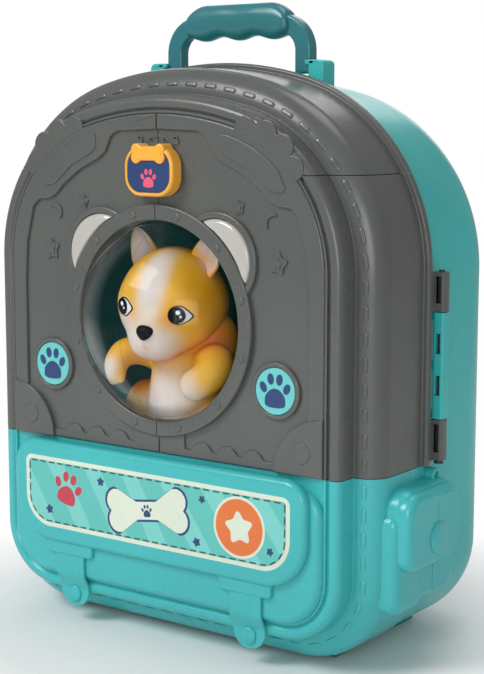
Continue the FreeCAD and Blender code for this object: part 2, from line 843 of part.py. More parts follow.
def door_panel():
    """Right leaf's flat panel: border, recess, relief plates and window opening."""
    half_gap = s.seam_gap / 2
    face = Part.Face(outline_wire(s.panel_inset, depth(0)))
    slab = face.extrude(V(0, s.panel_thickness, 0))
    tall = rise(2 * panel_height())
    leaf = box(half_gap, s.case_half_width, depth(-s.cut_overrun), depth(s.front_depth), rise(0), tall)
    slab = slab.common(leaf)
    floor = depth(s.recess_depth)
    radii = [share * s.recess_round for share in RECESS_ROUND_SHARES]
    pocket_points = [(x, z - s.cut_overrun if z <= rise(0) else z) for x, z in panel_points(RECESS_SHARES)]
    slab = slab.cut(plate(pocket_points, radii, depth(-s.cut_overrun), floor))
    sunk = floor + (s.panel_thickness - s.recess_depth) / 2
    shield = plate(panel_points(SHIELD_SHARES), [share * s.recess_round for share in SHIELD_ROUND_SHARES],
                   depth(-s.relief), depth(s.recess_depth / 2))
    side = s.case_half_width - s.panel_inset
    corner = disc(side, rise(0), s.corner_plate_radius, depth(-s.relief), sunk)
    corner = corner.common(box(0, side, depth(-s.cut_overrun), depth(s.front_depth), rise(0), tall))
    boss = disc(side - s.corner_boss_in, rise(s.corner_boss_rise), s.corner_boss_radius,
                depth(-2 * s.relief), sunk)
    strip = box(half_gap, side - s.corner_plate_radius / 2, depth(s.strip_depth), sunk, rise(0),
                rise(s.strip_rise))
    post = box(half_gap, s.post_half_width, depth(s.strip_depth), sunk, rise(0), rise(s.post_rise))
    bumps = []
    for index in range(3):
        x = s.bump_first_out + index * s.bump_pitch
        bump = disc(x, rise(s.bump_centre_rise), s.bump_radius, depth(s.strip_depth), sunk)
        bumps.append(bump.common(box(0, side, depth(-s.cut_overrun), depth(s.front_depth), rise(0), tall)))
    bezel = disc(badge_out(), rise(s.badge_rise), s.badge_bezel_radius,
                 floor - s.badge_bezel_proud, sunk)
    badge_seat = disc(badge_out(), rise(s.badge_rise), s.badge_radius + s.badge_fit, depth(-s.cut_overrun), floor)
    ear = disc(ear_out(), rise(ear_rise()), s.ear_radius, floor - s.ear_proud, sunk)
    ear = ear.cut(disc(ear_out(), rise(ear_rise()), s.ear_radius - s.ear_bezel, depth(-s.cut_overrun), floor))
    solids = [slab, shield, corner, boss, strip, post, bezel, ear] + bumps + scallops()
    panel = fused(solids)
    seat = disc(0, rise(window_rise()), s.ring_outer_radius, depth(-s.cut_overrun), floor)
    opening = disc(0, rise(window_rise()), bubble_radius() + s.bubble_fit, depth(-s.cut_overrun),
                   depth(s.front_depth))
    return panel.cut([seat, opening, badge_seat])


def door(with_bearing):
    """Right leaf; the left one is its mirror, with a notch instead of the bearing."""
    points, radii = edge_section(True, False)
    top = rise(s.arch_seam_rise - s.sill_gap)
    ridge_in = s.panel_inset - s.groove_width
    web_points = [
        (ridge_in - s.groove_width, s.groove_depth), (s.panel_inset + s.web_reach, s.groove_depth),
        (s.panel_inset + s.web_reach, s.web_back_depth), (ridge_in - s.groove_width, s.web_back_depth),
    ]
    web_radii = [0, 0, 0, 0]
    side_top = rise(s.shoulder_centre_rise)
    edge = [along_side(points, radii, rise(0), side_top), along_shoulder(points, radii)]
    web = [along_side(web_points, web_radii, rise(0), side_top), along_shoulder(web_points, web_radii)]
    wide = 2 * s.case_half_width
    above = box(-wide, wide, depth(-s.case_depth), depth(s.case_depth), top, 2 * top)
    leaf = fused(edge + web).cut(above)
    leaf_depths = (s.front_depth - s.rim_width, hinge_depth())
    bore = s.hinge_pin_radius + s.pin_clearance
    leaf_x = hinge_out() - s.leaf_thickness
    low = knuckle(s.hinge_low_rise, s.hinge_split_low_rise, bore, leaf_x, leaf_depths)
    high = knuckle(s.hinge_split_high_rise, s.hinge_high_rise, bore, leaf_x, leaf_depths)
    slots = []
    for bottom, height in ((s.hinge_low_rise, s.hinge_split_low_rise), (s.hinge_split_high_rise, s.hinge_high_rise)):
        slots.append(box(leaf_x - s.cut_overrun, hinge_out() + s.cut_overrun,
                         depth(s.front_depth + s.hinge_slot_width / 4),
                         depth(hinge_depth() - s.knuckle_radius),
                         rise(bottom + s.hinge_slot_margin), rise(height - s.hinge_slot_margin)))
    panel = door_panel()
    centre_z = rise(knob_rise())
    hole = disc(0, centre_z, s.shaft_radius + s.shaft_clearance, depth(-s.cut_overrun), depth(s.front_depth))
    if with_bearing:
        bearing = disc(0, centre_z, s.bearing_radius, depth(s.recess_depth), depth(s.bearing_back_depth))
        panel = fused([panel, bearing]).cut(hole)
    else:
        notch = disc(0, centre_z, s.bearing_radius + s.bearing_clearance, depth(-s.cut_overrun),
                     depth(s.front_depth))
        panel = panel.cut(notch)
    return fused([leaf, low.cut(slots), high.cut(slots), panel])


def half_turned(points, radii):
    """Half ring or dome: a section (radius, depth) turned half round the window's centre."""
    centre = V(0, 0, rise(window_rise()))
    face = Part.Face(rounded_wire(points, radii, lambda r, d: V(0, depth(d), centre.z - r)))
    half = face.revolve(centre, -AXIS_Y, 180)
    wide = 2 * s.case_half_width
    keep_side = box(s.seam_gap / 2, wide, depth(-s.case_depth), depth(s.case_depth), 0,
                    rise(2 * s.shoulder_centre_rise))
    return half.common(keep_side)


def window_ring():
    points = [(ring_inner(), -s.ring_proud), (s.ring_outer_radius, -s.ring_proud),
              (s.ring_outer_radius, s.recess_depth), (ring_inner(), s.recess_depth)]
    return half_turned(points, [s.ring_round, s.ring_round, 0, 0])


def bubble():
    """Half dome: a spherical cap on a short collar, with a flange behind the panel."""
    base = s.panel_thickness
    flange_back = base + s.bubble_wall
    outer = (bubble_radius() ** 2 + s.bubble_height ** 2) / (2 * s.bubble_height)
    inner = outer - s.bubble_wall
    centre = outer - s.bubble_height
    z = rise(window_rise())

    def at(r, d):
        return V(0, depth(d), z - r)

    def on_cap(radius, share):
        turn = math.asin(bubble_radius() / outer) * share
        return at(radius * math.sin(turn), centre - radius * math.cos(turn))

    half_share = 0.5
    full_share = 1.0
    lip = bubble_radius() - s.bubble_wall
    flange = bubble_radius() + s.bubble_flange
    inner_end = on_cap(inner, full_share)
    edges = [
        Part.Arc(at(0, -s.bubble_height), on_cap(outer, half_share), on_cap(outer, full_share)).toShape(),
        Part.makeLine(on_cap(outer, full_share), at(bubble_radius(), base)),
        Part.makeLine(at(bubble_radius(), base), at(flange, base)),
        Part.makeLine(at(flange, base), at(flange, flange_back)),
        Part.makeLine(at(flange, flange_back), at(lip, flange_back)),
        Part.makeLine(at(lip, flange_back), inner_end),
        Part.Arc(inner_end, on_cap(inner, half_share), at(0, centre - inner)).toShape(),
        Part.makeLine(at(0, centre - inner), at(0, -s.bubble_height)),
    ]
    half = Part.Face(Part.Wire(edges)).revolve(V(0, 0, z), -AXIS_Y, 180)
    wide = 2 * s.case_half_width
    keep_side = box(s.seam_gap / 2, wide, depth(-s.case_depth), depth(s.case_depth), 0,
                    rise(2 * s.shoulder_centre_rise))
    return half.common(keep_side)


def ear_insert():
    """Pale insert with a gently crowned front, cut away by the window ring."""
    radius = s.ear_radius - s.ear_bezel - s.ear_fit
    floor = depth(s.recess_depth)
    z = rise(ear_rise())
    base = disc(ear_out(), z, radius, floor - s.ear_proud, floor)
    ball = (radius ** 2 + s.ear_crown ** 2) / (2 * s.ear_crown)
    cap = Part.makeSphere(ball, V(ear_out(), floor - s.ear_proud - s.ear_crown + ball, z))
    cap = cap.common(disc(ear_out(), z, radius, floor - s.ear_proud - s.ear_crown - s.cut_overrun,
                          floor - s.ear_proud))
    ring = disc(0, rise(window_rise()), s.ring_outer_radius + s.ear_fit, depth(-s.front_depth),
                depth(s.front_depth))
    return fused([base, cap]).cut(ring)


# Knob and latch, carried by the right door

def knob_outline(margin):
    w = s.knob_half_width - margin
    h = s.knob_half_height - margin
    z = rise(knob_rise())
    points = [(-w, z - h), (w, z - h), (w, z + h), (-w, z + h)]
    return points, [s.knob_corner - margin] * len(points)


def knob_back():
    return depth(s.recess_depth) - s.knob_gap


def bone(front, back, grow):
    """Bone: a waist between two pairs of round lobes."""
    z = rise(knob_rise()) + s.bone_lift
    solids = [box(-s.bone_half_length, s.bone_half_length, front, back, z - s.bone_waist - grow,
                  z + s.bone_waist + grow)]
    for side in (-1, 1):
        for level in (-1, 1):
            solids.append(disc(side * s.bone_half_length, z + level * s.bone_lobe_spread,
                               s.bone_lobe_radius + grow, front, back))
    return fused(solids)


def knob():
    back = knob_back()
    front = back - s.knob_thickness
    points, radii = knob_outline(0)
    body = plate(points, radii, front, back)
    body = body.makeFillet(s.knob_edge, front_edges(body, front))
    points, radii = knob_outline(s.knob_rim)
    body = body.cut(plate(points, radii, front - s.cut_overrun, front + s.knob_face_sink))
    body = fused([body, bone(front - s.bone_proud, back, 0)])
    socket = disc(0, rise(knob_rise()), s.shaft_radius + s.shaft_clearance, back - s.shaft_socket,
                  back + s.cut_overrun)
    return body.cut(socket)


def knob_face():
    back = knob_back() - s.knob_thickness + s.knob_face_sink
    points, radii = knob_outline(s.knob_rim + s.knob_face_fit)
    face = plate(points, radii, back - s.knob_face_sink, back)
    return face.cut(bone(back - s.knob_thickness, back + s.cut_overrun, s.knob_face_fit))


def latch_front():
    return depth(s.bearing_back_depth) + s.latch_gap


def knob_shaft():
    z = rise(knob_rise())
    front = knob_back() - s.shaft_socket
    shaft = disc(0, z, s.shaft_radius, front, latch_front())
    pilot = disc(0, z, s.latch_screw_radius + s.screw_clearance, latch_front() - s.shaft_socket,
                 latch_front() + s.cut_overrun)
    return shaft.cut(pilot)


def latch_bar():
    z = rise(knob_rise())
    w = s.latch_width / 2
    h = s.latch_length / 2
    back = latch_front() + s.latch_thickness
    bar = plate([(-w, z - h), (w, z - h), (w, z + h), (-w, z + h)], [w / 2] * 4, latch_front(), back)
    return bar.cut(disc(0, z, s.latch_screw_radius + s.screw_clearance, latch_front() - s.cut_overrun,
                        back + s.cut_overrun))


def latch_screw():
    z = rise(knob_rise())
    back = latch_front() + s.latch_thickness
    stem = disc(0, z, s.latch_screw_radius, latch_front() - s.shaft_socket / 2, back)
    return fused([stem, disc(0, z, s.latch_head_radius, back, back + s.latch_head_height)])


# Lower front dressing

def front_pocket():
    back = depth(s.lower_panel_depth)
    front = back - s.pocket_proud
    w = pocket_half()
    low, high = rise(-s.pocket_bottom_fall), rise(-s.pocket_top_fall)
    radii = [s.pocket_bottom_corner, s.pocket_bottom_corner, s.pocket_top_corner, s.pocket_top_corner]
    body = plate([(-w, low), (w, low), (w, high), (-w, high)], radii, front, back)
    return body.makeFillet(s.pocket_edge, front_edges(body, front))


def flap_seat():
    return depth(s.lower_panel_depth - s.pocket_proud)


def flap_outline(margin):
    w = flap_half() - margin
    low, high = rise(-s.flap_bottom_fall) + margin, rise(-s.flap_top_fall) - margin
    radii = [s.flap_bottom_corner - margin, s.flap_bottom_corner - margin,
             s.flap_top_corner - margin, s.flap_top_corner - margin]
    return [(-w, low), (w, low), (w, high), (-w, high)], radii


def label_flap():
    back = flap_seat()
    points, radii = flap_outline(0)
    body = plate(points, radii, back - s.flap_thickness, back)
    body = body.makeFillet(s.flap_edge, front_edges(body, back - s.flap_thickness))
    points, radii = flap_outline(s.sticker_margin)
    return body.cut(plate(points, radii, back - 2 * s.flap_thickness,
                          back - s.flap_thickness + s.sticker_thickness))


def label_sticker():
    back = flap_seat() - s.flap_thickness + s.sticker_thickness
    points, radii = flap_outline(s.sticker_margin + s.badge_fit)
    return plate(points, radii, back - s.sticker_thickness, back)


def strap():
    """Right strap: clip under the flap, band over the pocket, tab below the ridge."""
    front = flap_seat() - s.strap_thickness
    seat = flap_seat()
    tab_back = depth(s.tab_depth)
    tab_front = tab_back - s.strap_thickness
    top = rise(-s.flap_bottom_fall - s.clip_gap)
    bend, tab, end = rise(-strap_bend()), rise(-strap_tab()), rise(-(strap_tab() + s.tab_length))
    lift = s.strap_thickness / 2
    side = [(front, top), (seat, top), (seat, bend), (tab_back, tab), (tab_back, end),
            (tab_front, end), (tab_front, tab + lift), (front, bend + lift)]
    w = s.tab_half_width
    face = Part.Face(rounded_wire(side, [0] * len(side), lambda y, z: V(strap_out() - w, y, z)))
    band = face.extrude(V(2 * w, 0, 0))
    half = s.strap_half_width
    reach = s.case_depth
    outline = [(strap_out() - w, end), (strap_out() + w, end), (strap_out() + w, tab),
               (strap_out() + half, tab + lift), (strap_out() + half, top), (strap_out() - half, top),
               (strap_out() - half, tab + lift), (strap_out() - w, tab)]
    band = band.common(plate(outline, [s.tab_round, s.tab_round, 0, 0, 0, 0, 0, 0], depth(-reach), depth(reach)))
    clip = s.clip_half_width
    clip_low = top - s.clip_height
    clip_points = [(strap_out() - clip, clip_low), (strap_out() + clip, clip_low),
                   (strap_out() + clip, top), (strap_out() - clip, top)]
    clip_radii = [s.clip_height / 2, s.clip_height / 2, 0, 0]
    return fused([band, plate(clip_points, clip_radii, front - s.clip_proud, seat)])


def snap(x, z, radius, height, front_face):
    button = disc(x, z, radius, front_face - height, front_face)
    return button.makeFillet(s.snap_edge, front_edges(button, front_face - height))


# Side pouch and its flap

def side_core():
    """Filled form of the lower front's side, to shape what sits against it."""
    points = [(s.corner_radius - s.wall, s.shoulder_depth), (0, s.shoulder_depth),
              (0, s.case_depth), (s.corner_radius - s.wall, s.case_depth)]
    radii = [0, s.edge_roll - 2 * s.pouch_fit, 0, 0]
    low = s.foot_height + s.corner_radius
    return fused([along_side(points, radii, low, rise(s.sill_gap)), along_corner(points, radii)])


def side_block(front, back, low_fall, high_fall, x0, x1):
    return box(x0, x1, depth(front), depth(back), rise(-low_fall), rise(-high_fall))


def outer_edges(shape, x):
    near = s.seam_gap / 10
    return [e for e in shape.Edges if abs(e.BoundBox.XMin - x) < near and abs(e.BoundBox.XMax - x) < near]


def upright_edges(shape, along):
    """Edges of a block that run along the given axis letter."""
    found = []
    for edge in shape.Edges:
        span = {"X": edge.BoundBox.XLength, "Y": edge.BoundBox.YLength, "Z": edge.BoundBox.ZLength}
        if span[along] > edge.Length - s.seam_gap:
            found.append(edge)
    return found


def pouch():
    x0 = s.case_half_width - s.pouch_root
    x1 = s.case_half_width + s.pouch_proud
    block = side_block(s.pouch_front_depth, pouch_back(), pouch_bottom(), s.pouch_top_fall, x0, x1)
    block = block.makeFillet(s.pouch_edge, upright_edges(block, "X"))
    block = block.makeFillet(s.pouch_edge - s.pouch_fit, outer_edges(block, x1))
    lower_half = side_block(s.pouch_front_depth + s.side_step_behind, pouch_back() + s.cut_overrun,
                            pouch_bottom() + s.cut_overrun, side_flap_bottom() - s.clip_gap,
                            x1 - s.side_step, x1 + s.cut_overrun)
    return block.cut([side_core(), lower_half])


def side_flap():
    seat = s.case_half_width + s.pouch_proud
    block = side_block(side_flap_front(), side_flap_back(), side_flap_bottom(),
                       side_flap_top(), seat - s.side_flap_lip, seat + s.side_flap_thickness)
    block = block.makeFillet(s.side_flap_corner, upright_edges(block, "X"))
    block = block.makeFillet(s.side_flap_edge, outer_edges(block, seat + s.side_flap_thickness))
    return block.cut(side_block(side_flap_front() - s.cut_overrun, side_flap_back() + s.cut_overrun,
                                s.case_depth, s.pouch_top_fall - s.pouch_fit, 0, seat))


def side_snap():
    seat = s.case_half_width + s.pouch_proud + s.side_flap_thickness
    at = V(seat, depth((side_flap_front() + s.side_snap_behind)), rise(-(side_flap_top() + s.side_snap_drop)))
    button = Part.makeCylinder(s.side_snap_radius, s.side_snap_height, at, AXIS_X)
    return button.makeFillet(s.snap_edge, outer_edges(button, seat + s.side_snap_height))


# Handle and brackets

def grip():
    """Thicker part of the handle: domed top, square ends and three finger waves below."""
    half, top, side = s.grip_half_length, crown_top() + s.grip_top_lift, crown_top() + s.grip_side_lift
    under = crown_top() + s.grip_under_lift
    front = depth(handle_depth()) - s.grip_thickness / 2
    centre_z = top - s.grip_round
    flat = half - math.sqrt(s.grip_round ** 2 - (side - centre_z) ** 2)
    lean = math.atan2(half - flat, side - centre_z) / 2

    def at(x, z):
        return V(x, front, z)

    def shoulder(way):
        middle = at(way * (flat + s.grip_round * math.sin(lean)), centre_z + s.grip_round * math.cos(lean))
        return Part.Arc(at(way * half, side), middle, at(way * flat, top)).toShape()

    waves = 3
    quarter = half / (2 * waves)
    turn = 2 * math.atan(s.grip_wave / quarter)
    curve = quarter / math.sin(turn)
    crest = under + s.grip_wave
    half_x, half_z = curve * math.sin(turn / 2), crest - curve + curve * math.cos(turn / 2)
    edges = [Part.Arc(at(half, crest), at(half - half_x, half_z), at(half - quarter, under)).toShape()]
    for index in range(2 * waves - 1):
        x = half - quarter - 2 * quarter * index
        peak = under - s.grip_wave if index % 2 == 0 else crest
        edges.append(Part.Arc(at(x, under), at(x - quarter, peak), at(x - 2 * quarter, under)).toShape())
    edges.append(Part.Arc(at(quarter - half, under), at(half_x - half, half_z), at(-half, crest)).toShape())
    edges += [Part.makeLine(at(-half, crest), at(-half, side)), shoulder(-1),
              Part.makeLine(at(-flat, top), at(flat, top)), shoulder(1),
              Part.makeLine(at(half, side), at(half, crest))]
    body = Part.Face(Part.Wire(Part.__sortEdges__(edges))).extrude(V(0, s.grip_thickness, 0))
    return body.makeFillet(s.grip_edge, front_edges(body, front) + front_edges(body, front + s.grip_thickness))


def handle():
    """Bail: two flat arms with rounded elbows and round feet, joined by the grip."""
    w, inner = s.handle_half_width, s.handle_half_width - s.handle_arm_width
    top = crown_top() + s.handle_arm_lift
    pivot = pivot_height()
    radius = s.handle_thickness / 2
    foot = pivot - radius - s.cut_overrun
    front, back = depth(handle_depth()) - radius, depth(handle_depth()) + radius
    under = top - s.handle_arm_width
    points = [(-w, foot), (-w, top), (w, top), (w, foot), (inner, foot), (inner, under), (-inner, under), (-inner, foot)]
    elbow, corner = s.handle_elbow, s.handle_elbow - s.handle_arm_width
    arms = plate(points, [0, elbow, elbow, 0, 0, corner, corner, 0], front, back)
    long_edges = [e for e in front_edges(arms, front) + front_edges(arms, back) if e.BoundBox.ZMax > pivot]
    arms = arms.makeFillet(s.handle_edge, long_edges)
    axis = V(-2 * w, depth(handle_depth()), pivot)
    below = box(-2 * w, 2 * w, front - s.cut_overrun, back + s.cut_overrun, foot - s.cut_overrun, pivot)
    below = below.cut(Part.makeCylinder(radius, 4 * w, axis, AXIS_X))
    bore = Part.makeCylinder(s.handle_pin_radius + s.pin_clearance, 4 * w, axis, AXIS_X)
    return fused([arms.cut([below, bore]), grip()])


def bracket():
    """Right bracket: block on the shell beside the handle's foot, with a small cap in front of it."""
    x0 = s.handle_half_width + s.bracket_gap
    y0, y1 = depth(handle_depth() - s.bracket_depth / 2), depth(handle_depth() + s.bracket_depth / 2)
    top = crown_top() + s.bracket_top_lift
    block = box(x0, x0 + s.bracket_width, y0, y1, top - s.bracket_root, top)
    outer_top = [e for e in block.Edges if e.BoundBox.ZMin > top - s.bracket_lip
                 and e.BoundBox.XMin > x0 + s.bracket_width / 2]
    block = block.makeFillet(s.bracket_round, outer_top)
    cap_back = depth(handle_depth() - s.handle_thickness / 2) - s.bracket_gap
    cap = box(x0 - s.bracket_cap_reach, x0 + s.bracket_lip, y0, cap_back, top - s.bracket_lip, top)
    shell = Part.Face(outline_wire(s.shell_inset, depth(0), s.shell_drop)).extrude(V(0, s.case_depth, 0))
    bore = Part.makeCylinder(s.handle_pin_radius + s.pin_clearance, s.bracket_width - s.bracket_lip,
                             V(x0, depth(handle_depth()), pivot_height()), AXIS_X)
    return fused([block, cap]).cut([shell, bore])


def handle_pin():
    start = s.handle_half_width + s.bracket_gap + s.bracket_width - s.bracket_lip - s.pin_clearance
    length = s.bracket_width - s.bracket_lip + s.handle_pin_reach
    at = V(start - length, depth(handle_depth()), pivot_height())
    return Part.makeCylinder(s.handle_pin_radius, length, at, AXIS_X)


# Feet

def foot(foot_depth):
    block = box(foot_out() - s.foot_width / 2, foot_out() + s.foot_width / 2,
                depth(foot_depth - s.foot_length / 2), depth(foot_depth + s.foot_length / 2),
                0, s.foot_height + s.foot_root)
    low = [e for e in block.Edges if e.BoundBox.ZMax < s.foot_height / 2]
    block = block.makeFillet(s.foot_edge, low)
    inset = 0 if foot_depth < s.front_depth else s.shell_inset
    case = Part.Face(outline_wire(inset, depth(0))).extrude(V(0, s.case_depth, 0))
    return block.cut(case)


# Puppy

def limb(start, start_radius, end, end_radius):
    """Tapered limb with round ends between two points."""
    run = end - start
    solids = [Part.makeSphere(start_radius, start), Part.makeSphere(end_radius, end),
              Part.makeCone(start_radius, end_radius, run.Length, start, run)]
    return solids[0].multiFuse(solids[1:])


def puppy_point(out, point_depth, point_rise):
    return V(s.puppy_shift + out, depth(point_depth), rise(point_rise))


def puppy_head_solid():
    skull = Part.makeSphere(s.head_radius, puppy_point(0, s.head_depth, s.head_rise))
    muzzle = Part.makeSphere(s.muzzle_radius, puppy_point(0, s.muzzle_depth, s.muzzle_rise))
    ears = [limb(puppy_point(side * s.ear_root_out, s.ear_line_depth, s.ear_root_rise), s.ear_root_radius,
                 puppy_point(side * s.ear_tip_out, s.ear_line_depth, s.ear_tip_rise), s.ear_tip_radius)
            for side in (-1, 1)]
    return skull.multiFuse([muzzle] + ears)


def puppy_eye_balls(grow):
    reach = math.sqrt(s.head_radius ** 2 - s.eye_out ** 2 - (s.eye_rise - s.head_rise) ** 2)
    at = s.head_depth - reach + s.eye_sink
    return [Part.makeSphere(s.eye_radius + grow, puppy_point(side * s.eye_out, at, s.eye_rise), AXIS_Y)
            for side in (-1, 1)]


def puppy_nose_ball(grow):
    return Part.makeSphere(s.nose_radius + grow, puppy_point(0, s.nose_depth, s.nose_rise), AXIS_Y)


def puppy_head():
    return puppy_head_solid().cut(puppy_eye_balls(s.eye_fit) + [puppy_nose_ball(s.eye_fit)])


def puppy_body():
    trunk = limb(puppy_point(0, s.belly_depth, s.belly_rise), s.belly_radius,
                 puppy_point(0, s.chest_depth, s.chest_rise), s.chest_radius)
    limbs = []
    for side in (-1, 1):
        shoulder = puppy_point(side * s.arm_root_out, s.arm_root_depth, s.arm_root_rise)
        elbow = puppy_point(side * s.elbow_out, s.elbow_depth, s.elbow_rise)
        paw = puppy_point(side * s.paw_out, s.paw_depth, s.paw_rise)
        hip = puppy_point(side * s.thigh_out, s.thigh_depth, s.thigh_rise)
        toe = puppy_point(side * s.foot_toe_out, s.foot_toe_depth, s.foot_toe_rise)
        limbs += [limb(shoulder, s.arm_root_radius, elbow, s.elbow_radius),
                  limb(elbow, s.elbow_radius, paw, s.paw_radius),
                  limb(hip, s.thigh_radius, toe, s.foot_radius)]
    body = trunk.multiFuse(limbs)
    wide = s.case_half_width
    under = box(-wide, wide, depth(-s.case_depth), depth(s.case_depth), 0, rise(-s.deck_fall))
    skull = Part.makeSphere(s.head_radius + s.neck_gap, puppy_point(0, s.head_depth, s.head_rise))
    muzzle = Part.makeSphere(s.muzzle_radius + s.neck_gap, puppy_point(0, s.muzzle_depth, s.muzzle_rise))
    return body.cut([under, skull, muzzle])


# Objects bound to the sheet by expressions

def bound(kind, name, **sizes):
    """Adds a primitive whose properties follow expressions on the sheet."""
    item = doc.addObject(kind, name)
    for prop, expression in sizes.items():
        item.setExpression(prop, expression)
    return item


SEAM_X = ("(sizes.hinge_proud + sizes.knuckle_radius"
          " - sizes.pouch_proud - sizes.side_flap_thickness - sizes.side_snap_height) / 2")


def put(item, x, y, z, rotation=None):
    """Places an item; each coordinate is an expression on the sheet, x from the doors' seam."""
    if rotation is not None:
        item.Placement = FreeCAD.Placement(ORIGIN, rotation)
    item.setExpression("Placement.Base.x", SEAM_X + " + " + x)
    item.setExpression("Placement.Base.y", y)
    item.setExpression("Placement.Base.z", z)
    return item


def group(label, members):
    """One sub-part made of several separate solids."""
    made = doc.addObject("Part::Compound", label)
    made.Label = label
    made.Links = members
    pieces.append(made)
    return made


PANEL_Y = "(sizes.bubble_height - sizes.case_depth) / 2"
FACE_FORWARD = FreeCAD.Rotation(AXIS_X, 90)


def hinge_pin(side):
    tag = "right" if side > 0 else "left"
    sign = "" if side > 0 else "-"
    y = PANEL_Y + " + sizes.front_depth + sizes.hinge_behind"
    low = "sizes.sill_height + sizes.hinge_low_rise - sizes.knuckle_gap"
    stem = bound("Part::Cylinder", tag + "_hinge_stem", Radius="sizes.hinge_pin_radius",
                 Height="sizes.hinge_high_rise - sizes.hinge_low_rise + sizes.knuckle_gap + sizes.pin_tail")
    put(stem, sign + "(sizes.case_half_width + sizes.hinge_proud)", y, low)
    head = bound("Part::Cylinder", tag + "_hinge_head", Radius="sizes.pin_head_radius",
                 Height="sizes.pin_head_height")
    put(head, sign + "(sizes.case_half_width + sizes.hinge_proud)", y, low + " - sizes.pin_head_height")
    pin = doc.addObject("Part::Fuse", tag + "_hinge_pin")
    pin.Base = stem
    pin.Tool = head
    return pin


def paw_badge(side):
    """Round badge seated in its bezel, its front edge softened."""
    label = "right_paw_badge" if side > 0 else "left_paw_badge"
    sign = "" if side > 0 else "-"
    badge = bound("Part::Cylinder", label + "_disc", Radius="sizes.badge_radius",
                  Height="sizes.badge_bezel_proud - sizes.badge_edge + sizes.badge_proud / 2")
    away = "(sizes.ring_outer_radius + sizes.badge_gap + sizes.badge_bezel_radius)"
    below = "(sizes.ring_outer_radius + sizes.window_sill_gap - sizes.badge_rise)"
    out = "sqrt(%s ^ 2 - %s ^ 2)" % (away, below)
    put(badge, sign + out, PANEL_Y + " + sizes.recess_depth",
        "sizes.sill_height + sizes.badge_rise", FACE_FORWARD)
    doc.recompute()
    rounded = doc.addObject("Part::Fillet", label)
    rounded.Label = label
    rounded.Base = badge
    front = min(edge.BoundBox.YMin for edge in badge.Shape.Edges)
    near = s.badge_edge / 2
    rounded.Edges = [(index, s.badge_edge, s.badge_edge) for index, edge in enumerate(badge.Shape.Edges, start=1)
                     if edge.BoundBox.YMax < front + near]
    pieces.append(rounded)
    return rounded


def case_screw(index, x, z):
    """Pan-head screw that sits on its well's floor and bites into the front boss."""
    seat = depth(s.front_depth + s.well_floor)
    stem = disc(x, z, s.screw_radius, depth(s.front_depth - s.pilot_length) + s.screw_head_height, seat)
    head = disc(x, z, s.screw_head_radius, seat, seat + s.screw_head_height)
    back = seat + s.screw_head_height
    reach = 2 * s.screw_head_radius
    slot = box(x - reach, x + reach, back - s.screw_slot_depth, back + s.cut_overrun,
               z - s.screw_slot_width / 2, z + s.screw_slot_width / 2)
    screw = doc.addObject("Part::Feature", "case_screw_%d" % index)
    screw.Shape = fused([stem, head]).cut(slot)
    screw.Placement = FreeCAD.Placement(seam(), FreeCAD.Rotation())
    return screw


def deck():
    """Cabin deck: a rounded board lying on the ledges of the shell and the lower front."""
    body = doc.addObject("PartDesign::Body", "cabin_floor")
    body.Label = "cabin_floor"
    plane = [f for f in body.Origin.OriginFeatures if f.Role == "XY_Plane"][0]
    sketch = body.newObject("Sketcher::SketchObject", "deck_outline")
    sketch.AttachmentSupport = (plane, "")
    sketch.MapMode = "FlatFace"
    half = deck_half()
    front, back = depth(s.deck_front_depth), depth(deck_back())
    corners = [V(-half, front, 0), V(half, front, 0), V(half, back, 0), V(-half, back, 0)]
    import Sketcher
    for index in range(4):
        sketch.addGeometry(Part.LineSegment(corners[index], corners[(index + 1) % 4]), False)
    for index in range(4):
        sketch.addConstraint(Sketcher.Constraint("Coincident", index, 2, (index + 1) % 4, 1))
    for index in (0, 2):
        sketch.addConstraint(Sketcher.Constraint("Horizontal", index))
    for index in (1, 3):
        sketch.addConstraint(Sketcher.Constraint("Vertical", index))
    rules = [("DistanceX", 0, 2, half, "sizes.case_half_width - sizes.deck_side_gap"),
             ("DistanceX", 0, 1, -half, "-(sizes.case_half_width - sizes.deck_side_gap)"),
             ("DistanceY", 0, 1, front, PANEL_Y + " + sizes.deck_front_depth"),
             ("DistanceY", 2, 1, back, PANEL_Y + " + sizes.case_depth - sizes.deck_back_gap")]
    for kind, line, point, value, expression in rules:
        number = sketch.addConstraint(Sketcher.Constraint(kind, -1, 1, line, point, value))
        sketch.setExpression("Constraints[%d]" % number, expression)
    pad = body.newObject("PartDesign::Pad", "deck_board")
    pad.Profile = sketch
    pad.setExpression("Length", "sizes.deck_thickness")
    doc.recompute()
    rounds = body.newObject("PartDesign::Fillet", "deck_corners")
    back_corners = ["Edge%d" % index for index, edge in enumerate(pad.Shape.Edges, start=1)
                    if edge.BoundBox.ZLength > edge.Length - s.seam_gap and edge.BoundBox.YMin > 0]
    rounds.Base = (pad, back_corners)
    rounds.setExpression("Radius", "sizes.deck_corner")
    body.Tip = rounds
    body.setExpression("Placement.Base.x", SEAM_X)
    body.setExpression("Placement.Base.z", "sizes.sill_height - sizes.deck_fall - sizes.deck_thickness")
    pieces.append(body)
    return body


# Assembly

keep("back_shell", back_shell())
keep("top_arch", top_arch())
keep("lower_front", lower_front())
deck()

keep("right_door", door(True))
keep("left_door", mirrored(door(False)))
for name, shape in (("ring", window_ring()), ("bubble", bubble()), ("ear", ear_insert())):
    keep("right_" + name, shape)
    keep("left_" + name, mirrored(shape))
paw_badge(1)
paw_badge(-1)
group("hinge_pins", [hinge_pin(1), hinge_pin(-1)])

keep("knob", knob())
keep("knob_face", knob_face())
keep("knob_shaft", knob_shaft())
keep("latch_bar", latch_bar())
keep("latch_screw", latch_screw())

